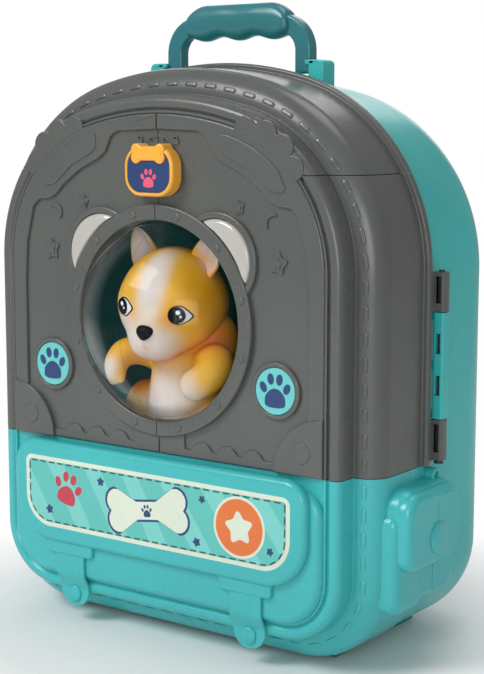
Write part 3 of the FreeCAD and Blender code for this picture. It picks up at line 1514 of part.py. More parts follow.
keep("front_pocket", front_pocket())
keep("label_flap", label_flap())
keep("label_sticker", label_sticker())
keep("right_strap", strap())
keep("left_strap", mirrored(strap()))
tab_front = depth(s.tab_depth) - s.strap_thickness
strap_snap = snap(strap_out(), rise(-(strap_tab() + s.snap_drop)), s.snap_radius, s.snap_height, tab_front)
keep("strap_buttons", Part.Compound([strap_snap, mirrored(strap_snap)]))

keep("right_pouch", pouch())
keep("right_flap", side_flap())
keep("flap_button", side_snap())

keep("handle", handle())
keep("right_bracket", bracket())
keep("left_bracket", mirrored(bracket()))
keep("handle_pins", Part.Compound([handle_pin(), mirrored(handle_pin())]))

feet = [foot(s.front_foot_depth), foot((s.case_depth - s.back_foot_gap))]
keep("feet", Part.Compound(feet + [mirrored(one) for one in feet]))
screws = [case_screw(index, x, z) for index, (x, z) in enumerate(ARCH_SCREWS + BASE_SCREWS, start=1)]
group("case_screws", screws)

keep("puppy_body", puppy_body())
keep("puppy_head", puppy_head())
keep("puppy_eyes", Part.Compound(puppy_eye_balls(0)))
keep("puppy_nose", puppy_nose_ball(0))

doc.recompute()


# Tests, then one file for each sub-part

def check():
    for item in doc.Objects:
        if "Invalid" in item.State or "Error" in item.State:
            raise RuntimeError("%s did not build: %s" % (item.Label, item.State))
    for part in pieces:
        if part.Shape.isNull() or not part.Shape.isValid() or not part.Shape.Solids:
            raise RuntimeError("%s has no valid shape" % part.Label)


check()
os.makedirs("parts", exist_ok=True)
for part in pieces:
    part.Shape.exportStep("parts/%s.step" % part.Label)
    print(part.Label, len(part.Shape.Solids), "solids, volume %.0f" % part.Shape.Volume)
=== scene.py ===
# %% [markdown]
# Toy vet kit. The imported solids give every size and place; this lesson dresses them.
# We load that frame first and find the doors' seam from the back shell's box.
# All shapes below are worked out in millimetres in three plain measures: x to the viewer's right
# of the doors' seam, depth back from the front plane of the doors, and rise above the door sill.

# %% Load the frame
import math
import bmesh
import bpy
import numpy as np
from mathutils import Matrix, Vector


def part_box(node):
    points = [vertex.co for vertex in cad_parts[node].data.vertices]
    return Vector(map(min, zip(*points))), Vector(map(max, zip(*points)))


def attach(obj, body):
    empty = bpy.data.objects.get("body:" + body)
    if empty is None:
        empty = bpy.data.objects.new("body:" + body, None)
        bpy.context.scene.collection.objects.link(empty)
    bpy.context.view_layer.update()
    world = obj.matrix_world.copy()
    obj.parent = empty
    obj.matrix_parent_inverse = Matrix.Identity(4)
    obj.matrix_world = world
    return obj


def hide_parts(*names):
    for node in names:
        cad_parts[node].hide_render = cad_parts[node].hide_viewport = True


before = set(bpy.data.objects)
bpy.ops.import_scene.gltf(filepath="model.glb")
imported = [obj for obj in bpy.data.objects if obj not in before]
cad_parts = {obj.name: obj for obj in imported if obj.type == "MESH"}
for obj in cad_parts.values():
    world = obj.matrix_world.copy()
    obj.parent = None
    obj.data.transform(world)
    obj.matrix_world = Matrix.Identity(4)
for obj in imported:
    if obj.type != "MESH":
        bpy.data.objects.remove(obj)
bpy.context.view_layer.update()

MM = 0.001
PANEL_Y, SILL = -56.0, 103.3
shell_low, shell_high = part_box("back_shell")
SEAM_X = (shell_low[0] + shell_high[0]) / 2 / MM
SHIFT = np.array([SEAM_X, 0.0, 0.0])
print("frame loaded:", len(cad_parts), "nodes, doors' seam at x %.2f mm" % SEAM_X)

# %% [markdown]
# A mesh is only lists of corners and faces. We call one block of corners with its faces a shell.
# Most shells are grids: rows of corners, with four-sided faces between neighbours.

# %% Shells from grids of corners
FLIP_X = np.array([-1.0, 1.0, 1.0])


def spot(x, depth, rise):
    """Corners in the shared frame: x as it is, depth behind the door plane, rise above the sill."""
    x, depth, rise = np.broadcast_arrays(x, depth, rise)
    return np.stack([x, PANEL_Y + depth, SILL + rise], -1).astype(float)


def grid_faces(rows, cols, wrap_rows=False, wrap_cols=False):
    """Four-sided faces between neighbours of a rows by cols grid, closed round where asked."""
    i = np.arange(rows if wrap_rows else rows - 1)[:, None]
    j = np.arange(cols if wrap_cols else cols - 1)[None, :]
    i2, j2 = (i + 1) % rows, (j + 1) % cols
    return np.stack([i * cols + j, i * cols + j2, i2 * cols + j2, i2 * cols + j], -1).reshape(-1, 4)


def grid_shell(points, wrap_rows=False, wrap_cols=False, cap_rows=False):
    """Shell of a grid of corners; cap_rows closes its first and last row with a flat face."""
    rows, cols = points.shape[:2]
    faces = grid_faces(rows, cols, wrap_rows, wrap_cols).tolist()
    if cap_rows:
        faces.append(list(range(cols)))
        faces.append(list(range((rows - 1) * cols, rows * cols)))
    return points.reshape(-1, 3), faces


def mirrored(shell):
    """The same shell on the other side of the seam."""
    points, faces = shell
    return points * FLIP_X, [face[::-1] for face in faces]


def gathered(shells):
    """Corners and faces of several shells as one block, the faces renumbered."""
    points, faces, start = [], [], 0
    for corners, shell_faces in shells:
        points.append(corners)
        faces += [[int(v) + start for v in face] for face in shell_faces]
        start += len(corners)
    return np.concatenate(points), faces


print("a two by three grid has", len(grid_faces(2, 3)), "faces")

# %% [markdown]
# One helper turns shells into an object that rides on a body of the frame. Every shell can have its
# own material. Edges sharper than an angle stay crisp, the others are shaded smooth, and the large
# flat faces lead the shading, as on a real moulding. A pair is made once and mirrored.

# %% Pieces from shells
MERGE_DISTANCE = 1e-7
FULL_WEIGHT = 100


def faced_out(mesh, merge):
    """Doubled corners merged where asked, then all faces turned outwards."""
    work = bmesh.new()
    work.from_mesh(mesh)
    if merge:
        bmesh.ops.remove_doubles(work, verts=work.verts, dist=MERGE_DISTANCE)
    bmesh.ops.recalc_face_normals(work, faces=work.faces)
    work.to_mesh(mesh)
    work.free()


def corners_of(mesh):
    """All corners of a mesh as one array of rows."""
    flat = np.empty(len(mesh.vertices) * 3)
    mesh.vertices.foreach_get("co", flat)
    return flat.reshape(-1, 3)


def add_piece(name, parts, body, nodes=(), sharp=38.0, even=True):
    """One object from (shell, material) pairs; faces turned outwards, crisp above the sharp angle."""
    points, faces = gathered([shell for shell, material in parts])
    numbers, materials = [], []
    for (corners, shell_faces), material in parts:
        if material not in materials:
            materials.append(material)
        numbers += [materials.index(material)] * len(shell_faces)
    mesh = bpy.data.meshes.new(name)
    mesh.from_pydata(((points + SHIFT) * MM).tolist(), [], faces)
    for material in materials:
        mesh.materials.append(material)
    mesh.polygons.foreach_set("material_index", numbers)
    faced_out(mesh, True)
    mesh.polygons.foreach_set("use_smooth", [True] * len(mesh.polygons))
    mesh.set_sharp_from_angle(angle=math.radians(sharp))
    piece = bpy.data.objects.new(name, mesh)
    bpy.context.scene.collection.objects.link(piece)
    if even:
        weigh = piece.modifiers.new("even shading", "WEIGHTED_NORMAL")
        weigh.keep_sharp = True
        weigh.weight = FULL_WEIGHT
    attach(piece, body)
    if nodes:
        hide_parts(*nodes)
    print(name, len(mesh.vertices), "corners", len(mesh.polygons), "faces")
    return piece


def all_in(material, shells):
    """Each shell paired with the one material."""
    return [(shell, material) for shell in shells]


def add_pair(name, parts, node, body=None, even=True):
    """Right piece as given and left piece mirrored, each on its own leaf unless a body is named."""
    for side, flip in (("right_", tuple), ("left_", mirrored)):
        flipped = [(flip(shell), material) for shell, material in parts]
        add_piece(side + name, flipped, body or side + "leaf", [side + node], even=even)


print("pieces can be made for", len(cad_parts), "nodes")

# %% [markdown]
# Round shapes need points about a centre. These few helpers give bearings, circles and turns.

# %% Points about a centre
def unit(vectors):
    """Vectors divided by their own length."""
    return vectors / np.linalg.norm(vectors, axis=-1, keepdims=True)


def around(count):
    """Even bearings round a full turn, the first not repeated at the end."""
    return np.linspace(0, 2 * math.pi, count, endpoint=False)


def bearings(count, start=0.0, sweep=360.0):
    """Even bearings over a sweep in degrees; a full turn doesn't repeat its first one."""
    return np.radians(start + sweep * np.arange(count) / (count if sweep >= 360 else count - 1))


def polar(x, z, radius, turn):
    """Points about a centre: x plus radius times the cosine, z plus radius times the sine."""
    return np.stack([x + radius * np.cos(turn), z + radius * np.sin(turn)], -1)


def circle(x, z, radius, count=64, start=0.0, sweep=360.0):
    """Points round a circle; a part of it where sweep is under a full turn."""
    return polar(x, z, radius, bearings(count, start, sweep))


def spun(points, degrees):
    """Flat points turned about the origin."""
    cos, sin = math.cos(math.radians(degrees)), math.sin(math.radians(degrees))
    return points @ np.array([[cos, sin], [-sin, cos]])


print("a circle has", len(circle(0, 0, 1.0)), "points unless told otherwise")

# %% [markdown]
# Moulded parts are full of rounded corners. One function rounds the corners of any outline, one
# draws an outline in along its own normals, and three measure and soften a line.

# %% Outlines and lines
def rounded(points, radii, step=10.0):
    """Closed outline: at each corner a tangent arc of its radius, a corner every step degrees."""
    points = np.asarray(points, float)
    radii = np.broadcast_to(np.asarray(radii, float), (len(points),))
    neighbours = np.roll(points, 1, 0), np.roll(points, -1, 0)
    out = []
    for corner, before, after, radius in zip(points, *neighbours, radii):
        a, b = unit(before - corner), unit(after - corner)
        if radius <= 0 or abs(np.cross(a, b)) < 1e-6:
            out.append(corner[None])
            continue
        half = math.acos(float(np.clip(a @ b, -1, 1))) / 2
        middle = corner + unit(a + b) * radius / math.sin(half)
        first = corner + a * radius / math.tan(half) - middle
        sweep = math.pi - 2 * half
        turn = np.linspace(0, sweep, max(2, int(math.degrees(sweep) / step) + 2))
        turn = turn * np.sign(np.cross(first, corner - middle))
        cos, sin = np.cos(turn), np.sin(turn)
        arc = np.stack([first[0] * cos - first[1] * sin, first[0] * sin + first[1] * cos], -1)
        out.append(middle + arc)
    return np.concatenate(out)


def rounded_box(left, right, low, high, radii, step=10.0):
    """Rectangle with rounded corners, from its lower left one round by the lower right one."""
    return rounded([(left, low), (right, low), (right, high), (left, high)], radii, step)


def drawn_in(outline, inset):
    """The outline moved inwards: each corner slides along the mean of its two edge normals."""
    ahead = np.roll(outline, -1, 0) - outline
    ahead = ahead / np.maximum(np.linalg.norm(ahead, axis=1, keepdims=True), 1e-9)
    mean = ahead + np.roll(ahead, 1, 0)
    mean = mean / np.maximum(np.linalg.norm(mean, axis=1, keepdims=True), 1e-9)
    x, z = outline.T
    area = np.sum(x * np.roll(z, -1) - z * np.roll(x, -1))
    side = 1.0 if area > 0 else -1.0
    miter = np.maximum(np.sum(mean * ahead, 1, keepdims=True), 0.5)
    return outline + side * inset * np.stack([-mean[:, 1], mean[:, 0]], -1) / miter


def run_along(line):
    """Length of a line from its first point to each of its points."""
    return np.concatenate([[0.0], np.cumsum(np.linalg.norm(np.diff(line, axis=0), axis=1))])


def sampled(line, run, at):
    """Points of a line at the lengths asked for."""
    return np.stack([np.interp(at, run, column) for column in line.T], -1)


def relaxed(line, rounds):
    """The line with each inner point averaged with its neighbours, again and again."""
    for _ in range(rounds):
        line[1:-1] = (line[:-2] + 2 * line[1:-1] + line[2:]) / 4
    return line


print("a box with rounded corners has", len(rounded_box(0, 4, 0, 2, 0.5)), "points")

# %% [markdown]
# An outline becomes a plate: its front edge rolls over a quarter circle while the outline is drawn
# in, so light catches the edge as on the real part. A profile becomes a round shape by turning it.

# %% Plates and turned shapes
def facing_front(a, b, level):
    """Outline in (x, rise), its level along depth."""
    return spot(a, level, b)


def facing_side(a, b, level):
    """Outline in (depth, rise), its level along x."""
    return spot(level, a, b)


def facing_up(a, b, level):
    """Outline in (x, depth), its level along the rise."""
    return spot(a, b, level)


def slab(outline, front, back, bevel=0.4, steps=4, back_bevel=0.0, to=facing_front):
    """Plate: rings of the outline, drawn in by bevel at the front and rolling out to full size."""
    outline = np.asarray(outline, float)
    way = 1.0 if back > front else -1.0
    turn = np.linspace(0, math.pi / 2, steps + 1)
    insets = list(bevel * (1 - np.sin(turn)))
    levels = list(front + way * bevel * (1 - np.cos(turn)))
    if back_bevel:
        insets += list(back_bevel * (1 - np.cos(turn)))
        levels += list(back - way * back_bevel * (1 - np.sin(turn)))
    else:
        insets.append(0.0)
        levels.append(back)
    rings = [to(*drawn_in(outline, inset).T, level) for inset, level in zip(insets, levels)]
    return grid_shell(np.stack(rings), wrap_cols=True, cap_rows=True)


def turned(profile, centre, to=facing_front, count=72, start=0.0, sweep=360.0):
    """Profile of (radius, level) turned round a centre; a part turn is closed with flat ends."""
    turn = bearings(count, start, sweep)[:, None]
    radius, level = np.asarray(profile, float).T[:, None]
    points = to(centre[0] + radius * np.cos(turn), centre[1] + radius * np.sin(turn), level)
    return grid_shell(points, wrap_rows=sweep >= 360, wrap_cols=sweep < 360, cap_rows=sweep < 360)


print("a small round plate has", len(slab(circle(0, 0, 5.0), 0.0, 2.0)[1]), "faces")

# %% [markdown]
# The whole case follows one outline: straight sides, shoulder arcs and a flatter crown. We write
# it as stations. A station has a centre, a radius and a bearing, and a point that lies inset by u
# is simply found on a radius shortened by u. Any section of (inset, depth) can then be carried
# along it, so the back shell, the arch, the doors and the lower front all match.

# %% The case outline as stations
HALF = 126.5
SHOULDER_X, SHOULDER_Z, CROWN_Z = 28.6, 98.0, 1.0
SHOULDER_R = HALF - SHOULDER_X
CROWN_R = SHOULDER_R + math.hypot(SHOULDER_X, SHOULDER_Z - CROWN_Z)
LEAN = math.atan2(SHOULDER_X, SHOULDER_Z - CROWN_Z)
TURN = math.pi / 2 - LEAN
CORNER_R, FOOT_HEIGHT = 48.0, 3.0
CORNER_X, CORNER_Z = HALF - CORNER_R, FOOT_HEIGHT + CORNER_R - SILL
FLOOR_R = SILL - FOOT_HEIGHT
ARCH_SEAM, GAP = 147.0, 0.4


def stations(x, rise, radius, bearing):
    """Rows of centre, radius and bearing; single values are repeated."""
    return np.stack(np.broadcast_arrays(*[np.asarray(v, float) for v in (x, rise, radius, bearing)]), -1)


def right_side(low, high, count=12):
    """Straight right side between two rises."""
    return stations(0.0, np.linspace(low, high, count), HALF, 0.0)


def right_shoulder(count=40):
    """Shoulder arc from the top of the side to the crown."""
    return stations(SHOULDER_X, SHOULDER_Z, SHOULDER_R, np.linspace(0, TURN, count))


def crown(count=24):
    """Flat arc over the top, from the right shoulder to the left one."""
    return stations(0.0, CROWN_Z, CROWN_R, np.linspace(TURN, math.pi - TURN, count))


def right_corner(count=24):
    """Lower corner from the bottom up to the side."""
    return stations(CORNER_X, CORNER_Z, CORNER_R, np.linspace(-math.pi / 2, 0, count))


def bottom(count=14):
    """Flat bottom from left to right."""
    return stations(np.linspace(-CORNER_X, CORNER_X, count), 0.0, FLOOR_R, -math.pi / 2)


def other_side(path):
    """The same stations mirrored, in reverse order."""
    flip = path[::-1].copy()
    flip[:, 0] *= -1
    flip[:, 3] = math.pi - flip[:, 3]
    return flip


def joined(*paths):
    """Paths end to end, with the doubled station at each meeting dropped."""
    return np.concatenate([paths[0]] + [path[1:] for path in paths[1:]])


def line_at(path, inset):
    """Points in (x, rise) of all stations at one inset."""
    x, rise, radius, bearing = path.T
    return polar(x, rise, radius - inset, bearing)


def carried(path, inset, depth, bearing=None):
    """Section of (inset, depth) carried along the stations; a grid with one row per station."""
    x, rise, radius, turn = path.T[:, :, None]
    turn = turn if bearing is None else bearing
    reach = radius - np.asarray(inset)[None, :]
    return spot(x + reach * np.cos(turn), np.asarray(depth)[None, :], rise + reach * np.sin(turn))


def seam_bearing(inset, rise):
    """Bearing at which a shoulder point of that inset comes to the given rise."""
    return np.arcsin((rise - SHOULDER_Z) / (SHOULDER_R - np.asarray(inset)))


print("outline: shoulder radius %.1f, crown radius %.1f, lean %.1f degrees"
      % (SHOULDER_R, CROWN_R, math.degrees(LEAN)))

# %% [markdown]
# Finishes come next, because every piece needs one. They are written as nodes on Object coordinates.
# A small class holds the nodes of one material: each method adds a node and hands on its output, so
# a finish reads as one sentence after the other instead of a list of links.

# %% Paint from nodes
GLOSS_SCALE, GRAIN_DEPTH = 34.0, 0.0002


class Paint:
    """Nodes of one material or world."""

    def __init__(self, owner, shader="Principled BSDF"):
        """Keep the owner, its nodes and links, and its main shader at hand."""
        owner.use_nodes = True
        self.owner = owner
        self.nodes = owner.node_tree.nodes
        self.links = owner.node_tree.links
        self.shader = self.nodes[shader]

    def feed(self, node, inputs):
        """Fill inputs by name or number: an output is linked, anything else is set as a value."""
        for key, value in inputs.items():
            if isinstance(value, bpy.types.NodeSocket):
                self.links.new(value, node.inputs[key])
            else:
                node.inputs[key].default_value = value
        return node

    def node(self, kind, inputs):
        """New node of a kind with its inputs filled."""
        return self.feed(self.nodes.new("ShaderNode" + kind), inputs)

    def coords(self):
        """Object coordinates."""
        return self.node("TexCoord", {}).outputs["Object"]

    def mapped(self, inputs):
        """Object coordinates stretched or turned by a Mapping node."""
        return self.node("Mapping", {"Vector": self.coords(), **inputs}).outputs["Vector"]

    def noise(self, scale, detail=3.0, coords=None):
        """Noise on Object coordinates, or on the coordinates given."""
        vector = self.coords() if coords is None else coords
        return self.node("TexNoise", {"Scale": scale, "Detail": detail, "Vector": vector}).outputs["Fac"]

    def ranged(self, value, low, high, start=0.0, end=1.0):
        """A value between start and end taken over to between low and high."""
        limits = {"From Min": start, "From Max": end, "To Min": low, "To Max": high}
        return self.node("MapRange", {"Value": value, **limits}).outputs["Result"]

    def mixed(self, share, first, second):
        """Colour between two, each a colour or an output."""
        node = self.nodes.new("ShaderNodeMix")
        node.data_type = "RGBA"
        return self.feed(node, {"Factor": share, "A": first, "B": second}).outputs["Result"]

    def bumped(self, height, strength, distance):
        """Height as bump on the shader's normal."""
        bump = self.node("Bump", {"Strength": strength, "Distance": distance, "Height": height})
        self.feed(self.shader, {"Normal": bump.outputs["Normal"]})

    def surface_detail(self, rough, spread, grain, strength):
        """Gloss that wanders slowly and a fine mould texture as bump."""
        gloss = self.ranged(self.noise(GLOSS_SCALE), rough - spread, rough + spread, 0.3, 0.7)
        self.feed(self.shader, {"Roughness": gloss})
        self.bumped(self.noise(grain, 2.0), strength, GRAIN_DEPTH)

    def blended(self, share, first, second):
        """Two shaders mixed and sent to the surface."""
        mix = self.node("MixShader", {"Fac": share, 1: first, 2: second})
        self.feed(self.nodes["Material Output"], {"Surface": mix.outputs["Shader"]})


def new_paint(name):
    """Paint of a new material."""
    return Paint(bpy.data.materials.new(name))


def linear(*srgb):
    """Colour as seen on screen, 0 to 255, made linear for the shader."""
    c = np.asarray(srgb, float) / 255.0
    return tuple(np.where(c <= 0.04045, c / 12.92, ((c + 0.055) / 1.055) ** 2.4)) + (1.0,)


print("middle grey on screen is", round(float(linear(128)[0]), 3), "of white for the shader")

# %% [markdown]
# Toy cases are injection-moulded plastic: one colour all through, a fine tool texture, and a gloss
# that varies a little with wear and flow. One function says that, and each colour calls it.

# %% Moulded plastic
DEEPER = 0.9
MOULD_GRAIN, MOULD_STRENGTH = 1800.0, 0.08


def plastic(name, srgb, rough=0.35, spread=0.05, coat=0.0):
    """Moulded plastic: base colour drifting to a slightly darker one, wandering gloss, fine grain."""
    paint = new_paint(name)
    base = linear(*srgb)
    deep = tuple(c * DEEPER for c in base[:3]) + (1.0,)
    drift = paint.ranged(paint.noise(11.0, 4.0), 0.0, 1.0, 0.35, 0.65)
    colour = paint.mixed(drift, base, deep)
    paint.feed(paint.shader, {"Base Color": colour, "Coat Weight": coat, "Coat Roughness": 0.12})
    paint.surface_detail(rough, spread, MOULD_GRAIN, MOULD_STRENGTH)
    return paint.owner


TEAL = plastic("teal moulded plastic", (62, 180, 182), 0.28)
TEAL_SHELL = plastic("teal shell plastic", (56, 182, 180), 0.3)
GREY = plastic("warm grey plastic", (88, 91, 88), 0.27)
GREY_DEEP = plastic("shaded grey plastic", (70, 72, 69), 0.42)
HANDLE_TEAL = plastic("handle plastic", (46, 120, 126), 0.22)
DECK = plastic("deck plastic", (46, 78, 82), 0.5)
ORANGE = plastic("orange plastic", (241, 172, 58), 0.3, coat=0.3)
NAVY = plastic("navy plastic", (38, 62, 108), 0.35)
PALE = plastic("pale glossy plastic", (186, 183, 176), 0.2, coat=0.6)
FOOT = plastic("deep teal plastic", (26, 128, 126), 0.45)
print("plastics:", ", ".join(paint.name for paint in bpy.data.materials if "plastic" in paint.name))

# %% [markdown]
# Metal is kept for small hardware: the case screws, the latch screw and the handle's pins. Plated
# steel is a metallic base with streaks that stretch one way, so its gloss breaks up along the lathe.

# %% Plated steel
def plated_steel():
    """Plated steel: two greys and two gloss levels, both mixed by one stretched noise."""
    paint = new_paint("plated steel")
    streak = paint.noise(1.0, 2.0, paint.mapped({"Scale": (900.0, 60.0, 900.0)}))
    colour = paint.mixed(streak, (0.62, 0.61, 0.58, 1), (0.42, 0.42, 0.41, 1))
    gloss = paint.ranged(streak, 0.22, 0.4)
    paint.feed(paint.shader, {"Base Color": colour, "Roughness": gloss, "Metallic": 1.0})
    return paint.owner


STEEL = plated_steel()
print("metal:", STEEL.name)

# %% [markdown]
# The camera stands where the photograph was taken from: found by matching known corners, it is
# 36 degrees to the right of the doors and 8 degrees up. Light is soft and even, as in a studio:
# four square lamps, and a white world that is dimmer for everything but the camera.

# %% Camera and light
AZIMUTH, ELEVATION = math.radians(36.115), math.radians(8.070)
TARGET = Vector((0.05453 + SEAM_X * MM, -0.056, 0.16932))
DISTANCE = 0.76178
WHITE = (1.0, 1.0, 1.0, 1.0)
MIDDLE = (0.0, 0.0, 0.17)
level_reach = math.cos(ELEVATION)
back = Vector((math.sin(AZIMUTH) * level_reach, -math.cos(AZIMUTH) * level_reach, math.sin(ELEVATION)))
camera = bpy.data.objects.new("camera", bpy.data.cameras.new("camera"))
camera.data.lens = 81.65
camera.data.sensor_width = 36.0
camera.data.clip_start = 0.02
camera.location = TARGET + back * DISTANCE
camera.rotation_euler = back.to_track_quat("Z", "Y").to_euler()
bpy.context.scene.collection.objects.link(camera)
bpy.context.scene.camera = camera


def soft_box(name, place, size, power):
    """Square area lamp turned from its place towards the middle of the case."""
    lamp = bpy.data.objects.new(name, bpy.data.lights.new(name, "AREA"))
    lamp.data.energy = power
    lamp.data.size = size
    lamp.location = place
    lamp.rotation_euler = (Vector(place) - Vector(MIDDLE)).to_track_quat("Z", "Y").to_euler()
    bpy.context.scene.collection.objects.link(lamp)


soft_box("key", (-0.45, -1.0, 1.05), 0.55, 11.0)
soft_box("front fill", (0.75, -1.15, 0.42), 0.6, 5.0)
soft_box("top", (0.2, 0.25, 1.3), 0.6, 3.0)
soft_box("rear", (-0.6, 1.2, 0.8), 0.9, 3.8)
bpy.context.scene.world = bpy.data.worlds.new("studio")
sky = Paint(bpy.context.scene.world, "Background")
seen_directly = sky.node("LightPath", {}).outputs["Is Camera Ray"]
sky.feed(sky.shader, {"Color": WHITE, "Strength": sky.ranged(seen_directly, 0.36, 1.0)})
bpy.context.scene.view_settings.view_transform = "Standard"
print("camera at", [round(v, 3) for v in camera.location])

# %% [markdown]
# The floor is pale and takes a soft shadow. Farther out it fades to pure white for the camera, so
# that no horizon shows; other rays still meet the plain floor.

# %% Floor
FLOOR_REACH, FLOOR_LEVEL = 3.0, -0.0002
corners = [(-FLOOR_REACH, -FLOOR_REACH), (FLOOR_REACH, -FLOOR_REACH), (FLOOR_REACH, FLOOR_REACH),
           (-FLOOR_REACH, FLOOR_REACH)]
floor_mesh = bpy.data.meshes.new("floor")
floor_mesh.from_pydata([(x, y, FLOOR_LEVEL) for x, y in corners], [], [(0, 1, 2, 3)])
floor = bpy.data.objects.new("floor", floor_mesh)
bpy.context.scene.collection.objects.link(floor)
ground = new_paint("pale floor")
mottled = ground.mixed(ground.noise(3.0), (0.9, 0.9, 0.9, 1), (0.87, 0.87, 0.87, 1))
ground.feed(ground.shader, {"Base Color": mottled, "Roughness": 0.8})
white = ground.node("Emission", {"Color": WHITE})
away = ground.node("VectorMath", {0: ground.coords()})
away.operation = "LENGTH"
fade = ground.ranged(away.outputs["Value"], 0.0, 1.0, 0.13, 0.24)
seen = ground.node("Math", {0: fade, 1: ground.node("LightPath", {}).outputs["Is Camera Ray"]})
seen.operation = "MULTIPLY"
ground.blended(seen.outputs["Value"], ground.shader.outputs["BSDF"], white.outputs["Emission"])
floor_mesh.materials.append(ground.owner)
print("floor of", 2 * FLOOR_REACH, "metres")

# %% [markdown]
# The moulded edge of the front pieces is one section: a flat-topped ridge, a wall dropping to a
# stitched shoulder, a large roll, a straight band and a rim. Carrying it along the stations gives
# the arch and both doors; the lower front uses it without the rim. The doors end at level cuts,
# so on the shoulder every inset has its own last bearing.

# %% The edge section
PANEL_INSET, RIDGE_IN, RIDGE_OUT, SHOULDER_D = 23.5, 21.9, 14.5, 13.0
ROLL, WALL, FRONT_D = 13.0, 2.4, 58.5
ARCH_FLANGE, RIM_PROUD, RIM_FRONT = 9.0, 3.3, 54.5


def edge_section(rim, flange=0.0):
    """Closed outline in (inset, depth), every corner rounded; a flange turns in at the back."""
    corners = [(27.0, 5.2, 0.2), (27.0, 3.0, 0.2), (23.3, 3.0, 0), (23.3, 0.5, 0.3), (22.0, 0.5, 0.3),
               (22.0, 2.2, 0), (RIDGE_IN - 0.3, 2.2, 0.2), (19.6, 0.2, 1.8), (RIDGE_OUT, 0.6, 3.6),
               (13.8, SHOULDER_D, 0.5), (0.0, SHOULDER_D, ROLL - 0.6)]
    if rim:
        corners += [(0.0, RIM_FRONT, 0.8), (-RIM_PROUD, RIM_FRONT, 1.4), (-RIM_PROUD, FRONT_D, 1.2)]
    else:
        corners += [(0.0, FRONT_D, 0.4)]
    if flange:
        inner = FRONT_D - WALL
        corners += [(flange, FRONT_D, 0.3), (flange, inner, 0.3), (WALL, inner, 0.3)]
    else:
        corners += [(WALL, FRONT_D, 0.3)]
    corners += [(WALL, 15.4, 10.6), (16.2, 15.4, 0.6), (16.9, 6.4, 0.4), (20.5, 6.4, 0.2)]
    corners = np.array(corners)
    return rounded(corners[:, :2], corners[:, 2], 9.0).T


def shoulder_arc(inset, depth, first, last, count):
    """The section carried over the right shoulder, each inset between its own two bearings."""
    share = np.linspace(0, 1, count)[:, None]
    path = np.repeat(right_shoulder(2)[:1], count, 0)
    return carried(path, inset, depth, first + share * (last - first))


def door_edge():
    """Right door's edge: straight up the side, then round the shoulder to the level seam."""
    inset, depth = edge_section(True)
    side = carried(right_side(0.0, SHOULDER_Z, 10), inset, depth)
    arc = shoulder_arc(inset, depth, 0.0, seam_bearing(inset, ARCH_SEAM - GAP)[None, :], 26)
    return grid_shell(np.concatenate([side, arc[1:]]), wrap_cols=True, cap_rows=True)


def arch_edge():
    """Top arch: from seam to seam over both shoulders and the crown."""
    inset, depth = edge_section(True, ARCH_FLANGE)
    right = shoulder_arc(inset, depth, seam_bearing(inset, ARCH_SEAM)[None, :], TURN, 22)
    top = carried(crown(40), inset, depth)
    left = right[::-1] * FLIP_X
    return grid_shell(np.concatenate([right, top[1:], left[1:]]), wrap_cols=True, cap_rows=True)


def lower_edge():
    """Lower front: down one side, round the corner, along the bottom and up the other side."""
    right = joined(right_corner(), right_side(CORNER_Z, -GAP, 6))
    path = joined(other_side(right), bottom(), right)
    return grid_shell(carried(path, *edge_section(False)), wrap_cols=True, cap_rows=True)


print("edge section:", edge_section(True).shape[1], "points with the rim")

# %% [markdown]
# The door panel is a stack of low plates on one floor, each an outline made into a bevelled plate.
# First come the floor and the raised border with its stepped inner edge. The stepped outlines are
# shares of the panel's own half width and height.

# %% Door panel floor and border
PANEL_HALF = HALF - PANEL_INSET
PANEL_TOP = CROWN_Z + CROWN_R - PANEL_INSET
WINDOW_Z, RING_OUT, RING_IN = 69.7, 60.6, 52.5
SEAM = 0.25
RECESS_D, PANEL_BACK = 2.0, 3.6
ON_FLOOR = RECESS_D + 0.2
RECESS = [(0.0, 0.954), (0.254, 0.949), (0.301, 0.934), (0.339, 0.888), (0.385, 0.868), (0.515, 0.833),
          (0.634, 0.785), (0.685, 0.755), (0.73, 0.743), (0.803, 0.739), (0.848, 0.717), (0.897, 0.608),
          (0.91, 0.486), (0.91, 0.0)]
RECESS_ROUND = [0, 1.5, 2.5, 2.5, 2.5, 1, 1, 2.5, 2.5, 1.5, 2.5, 1, 1, 0]


def panel_edge(inset, count=60):
    """Outer edge of the right panel from the sill up the side and over to the seam, inset as asked."""
    line = line_at(joined(right_side(0.0, SHOULDER_Z, 4), right_shoulder(count), crown(count)), inset)
    top = CROWN_Z + math.sqrt((CROWN_R - inset) ** 2 - SEAM ** 2)
    return np.concatenate([line[line[:, 0] > SEAM], [[SEAM, top]]])


def shares(points):
    """Shares of the panel's half width and height as millimetres."""
    return np.asarray(points, float) * np.array([PANEL_HALF, PANEL_TOP])


def panel_floor():
    """Sunk floor of the leaf, with the half round opening for the window."""
    radius = RING_IN - 0.4
    half = math.acos(SEAM / radius)
    window = polar(0.0, WINDOW_Z, radius, np.linspace(half, -half, 60))
    outline = np.concatenate([[[SEAM, 0.0]], panel_edge(PANEL_INSET + 0.3), window])
    return slab(outline, RECESS_D, PANEL_BACK, 0.1, 2)


def raised_border():
    """Raised rim of the panel between its outer edge and the stepped inner edge."""
    inner = shares(RECESS)
    inner[0, 0] = SEAM
    outside = [[PANEL_HALF, 0.0], [PANEL_HALF, SHOULDER_Z], [SEAM, PANEL_TOP + 40]]
    steps = rounded(np.concatenate([inner, outside]), RECESS_ROUND + [0, 0, 0])[:-len(outside)]
    return slab(np.concatenate([steps, panel_edge(PANEL_INSET)]), 0.0, RECESS_D + 0.5, 1.2, 6)


print("panel: half width %.1f, height %.1f" % (PANEL_HALF, PANEL_TOP))

# %% [markdown]
# On floor and border lie a shield in the upper corner, a quarter disc in the lower one, a bumped
# strip along the sill and a cloud-edged plate that reaches over the ridge.

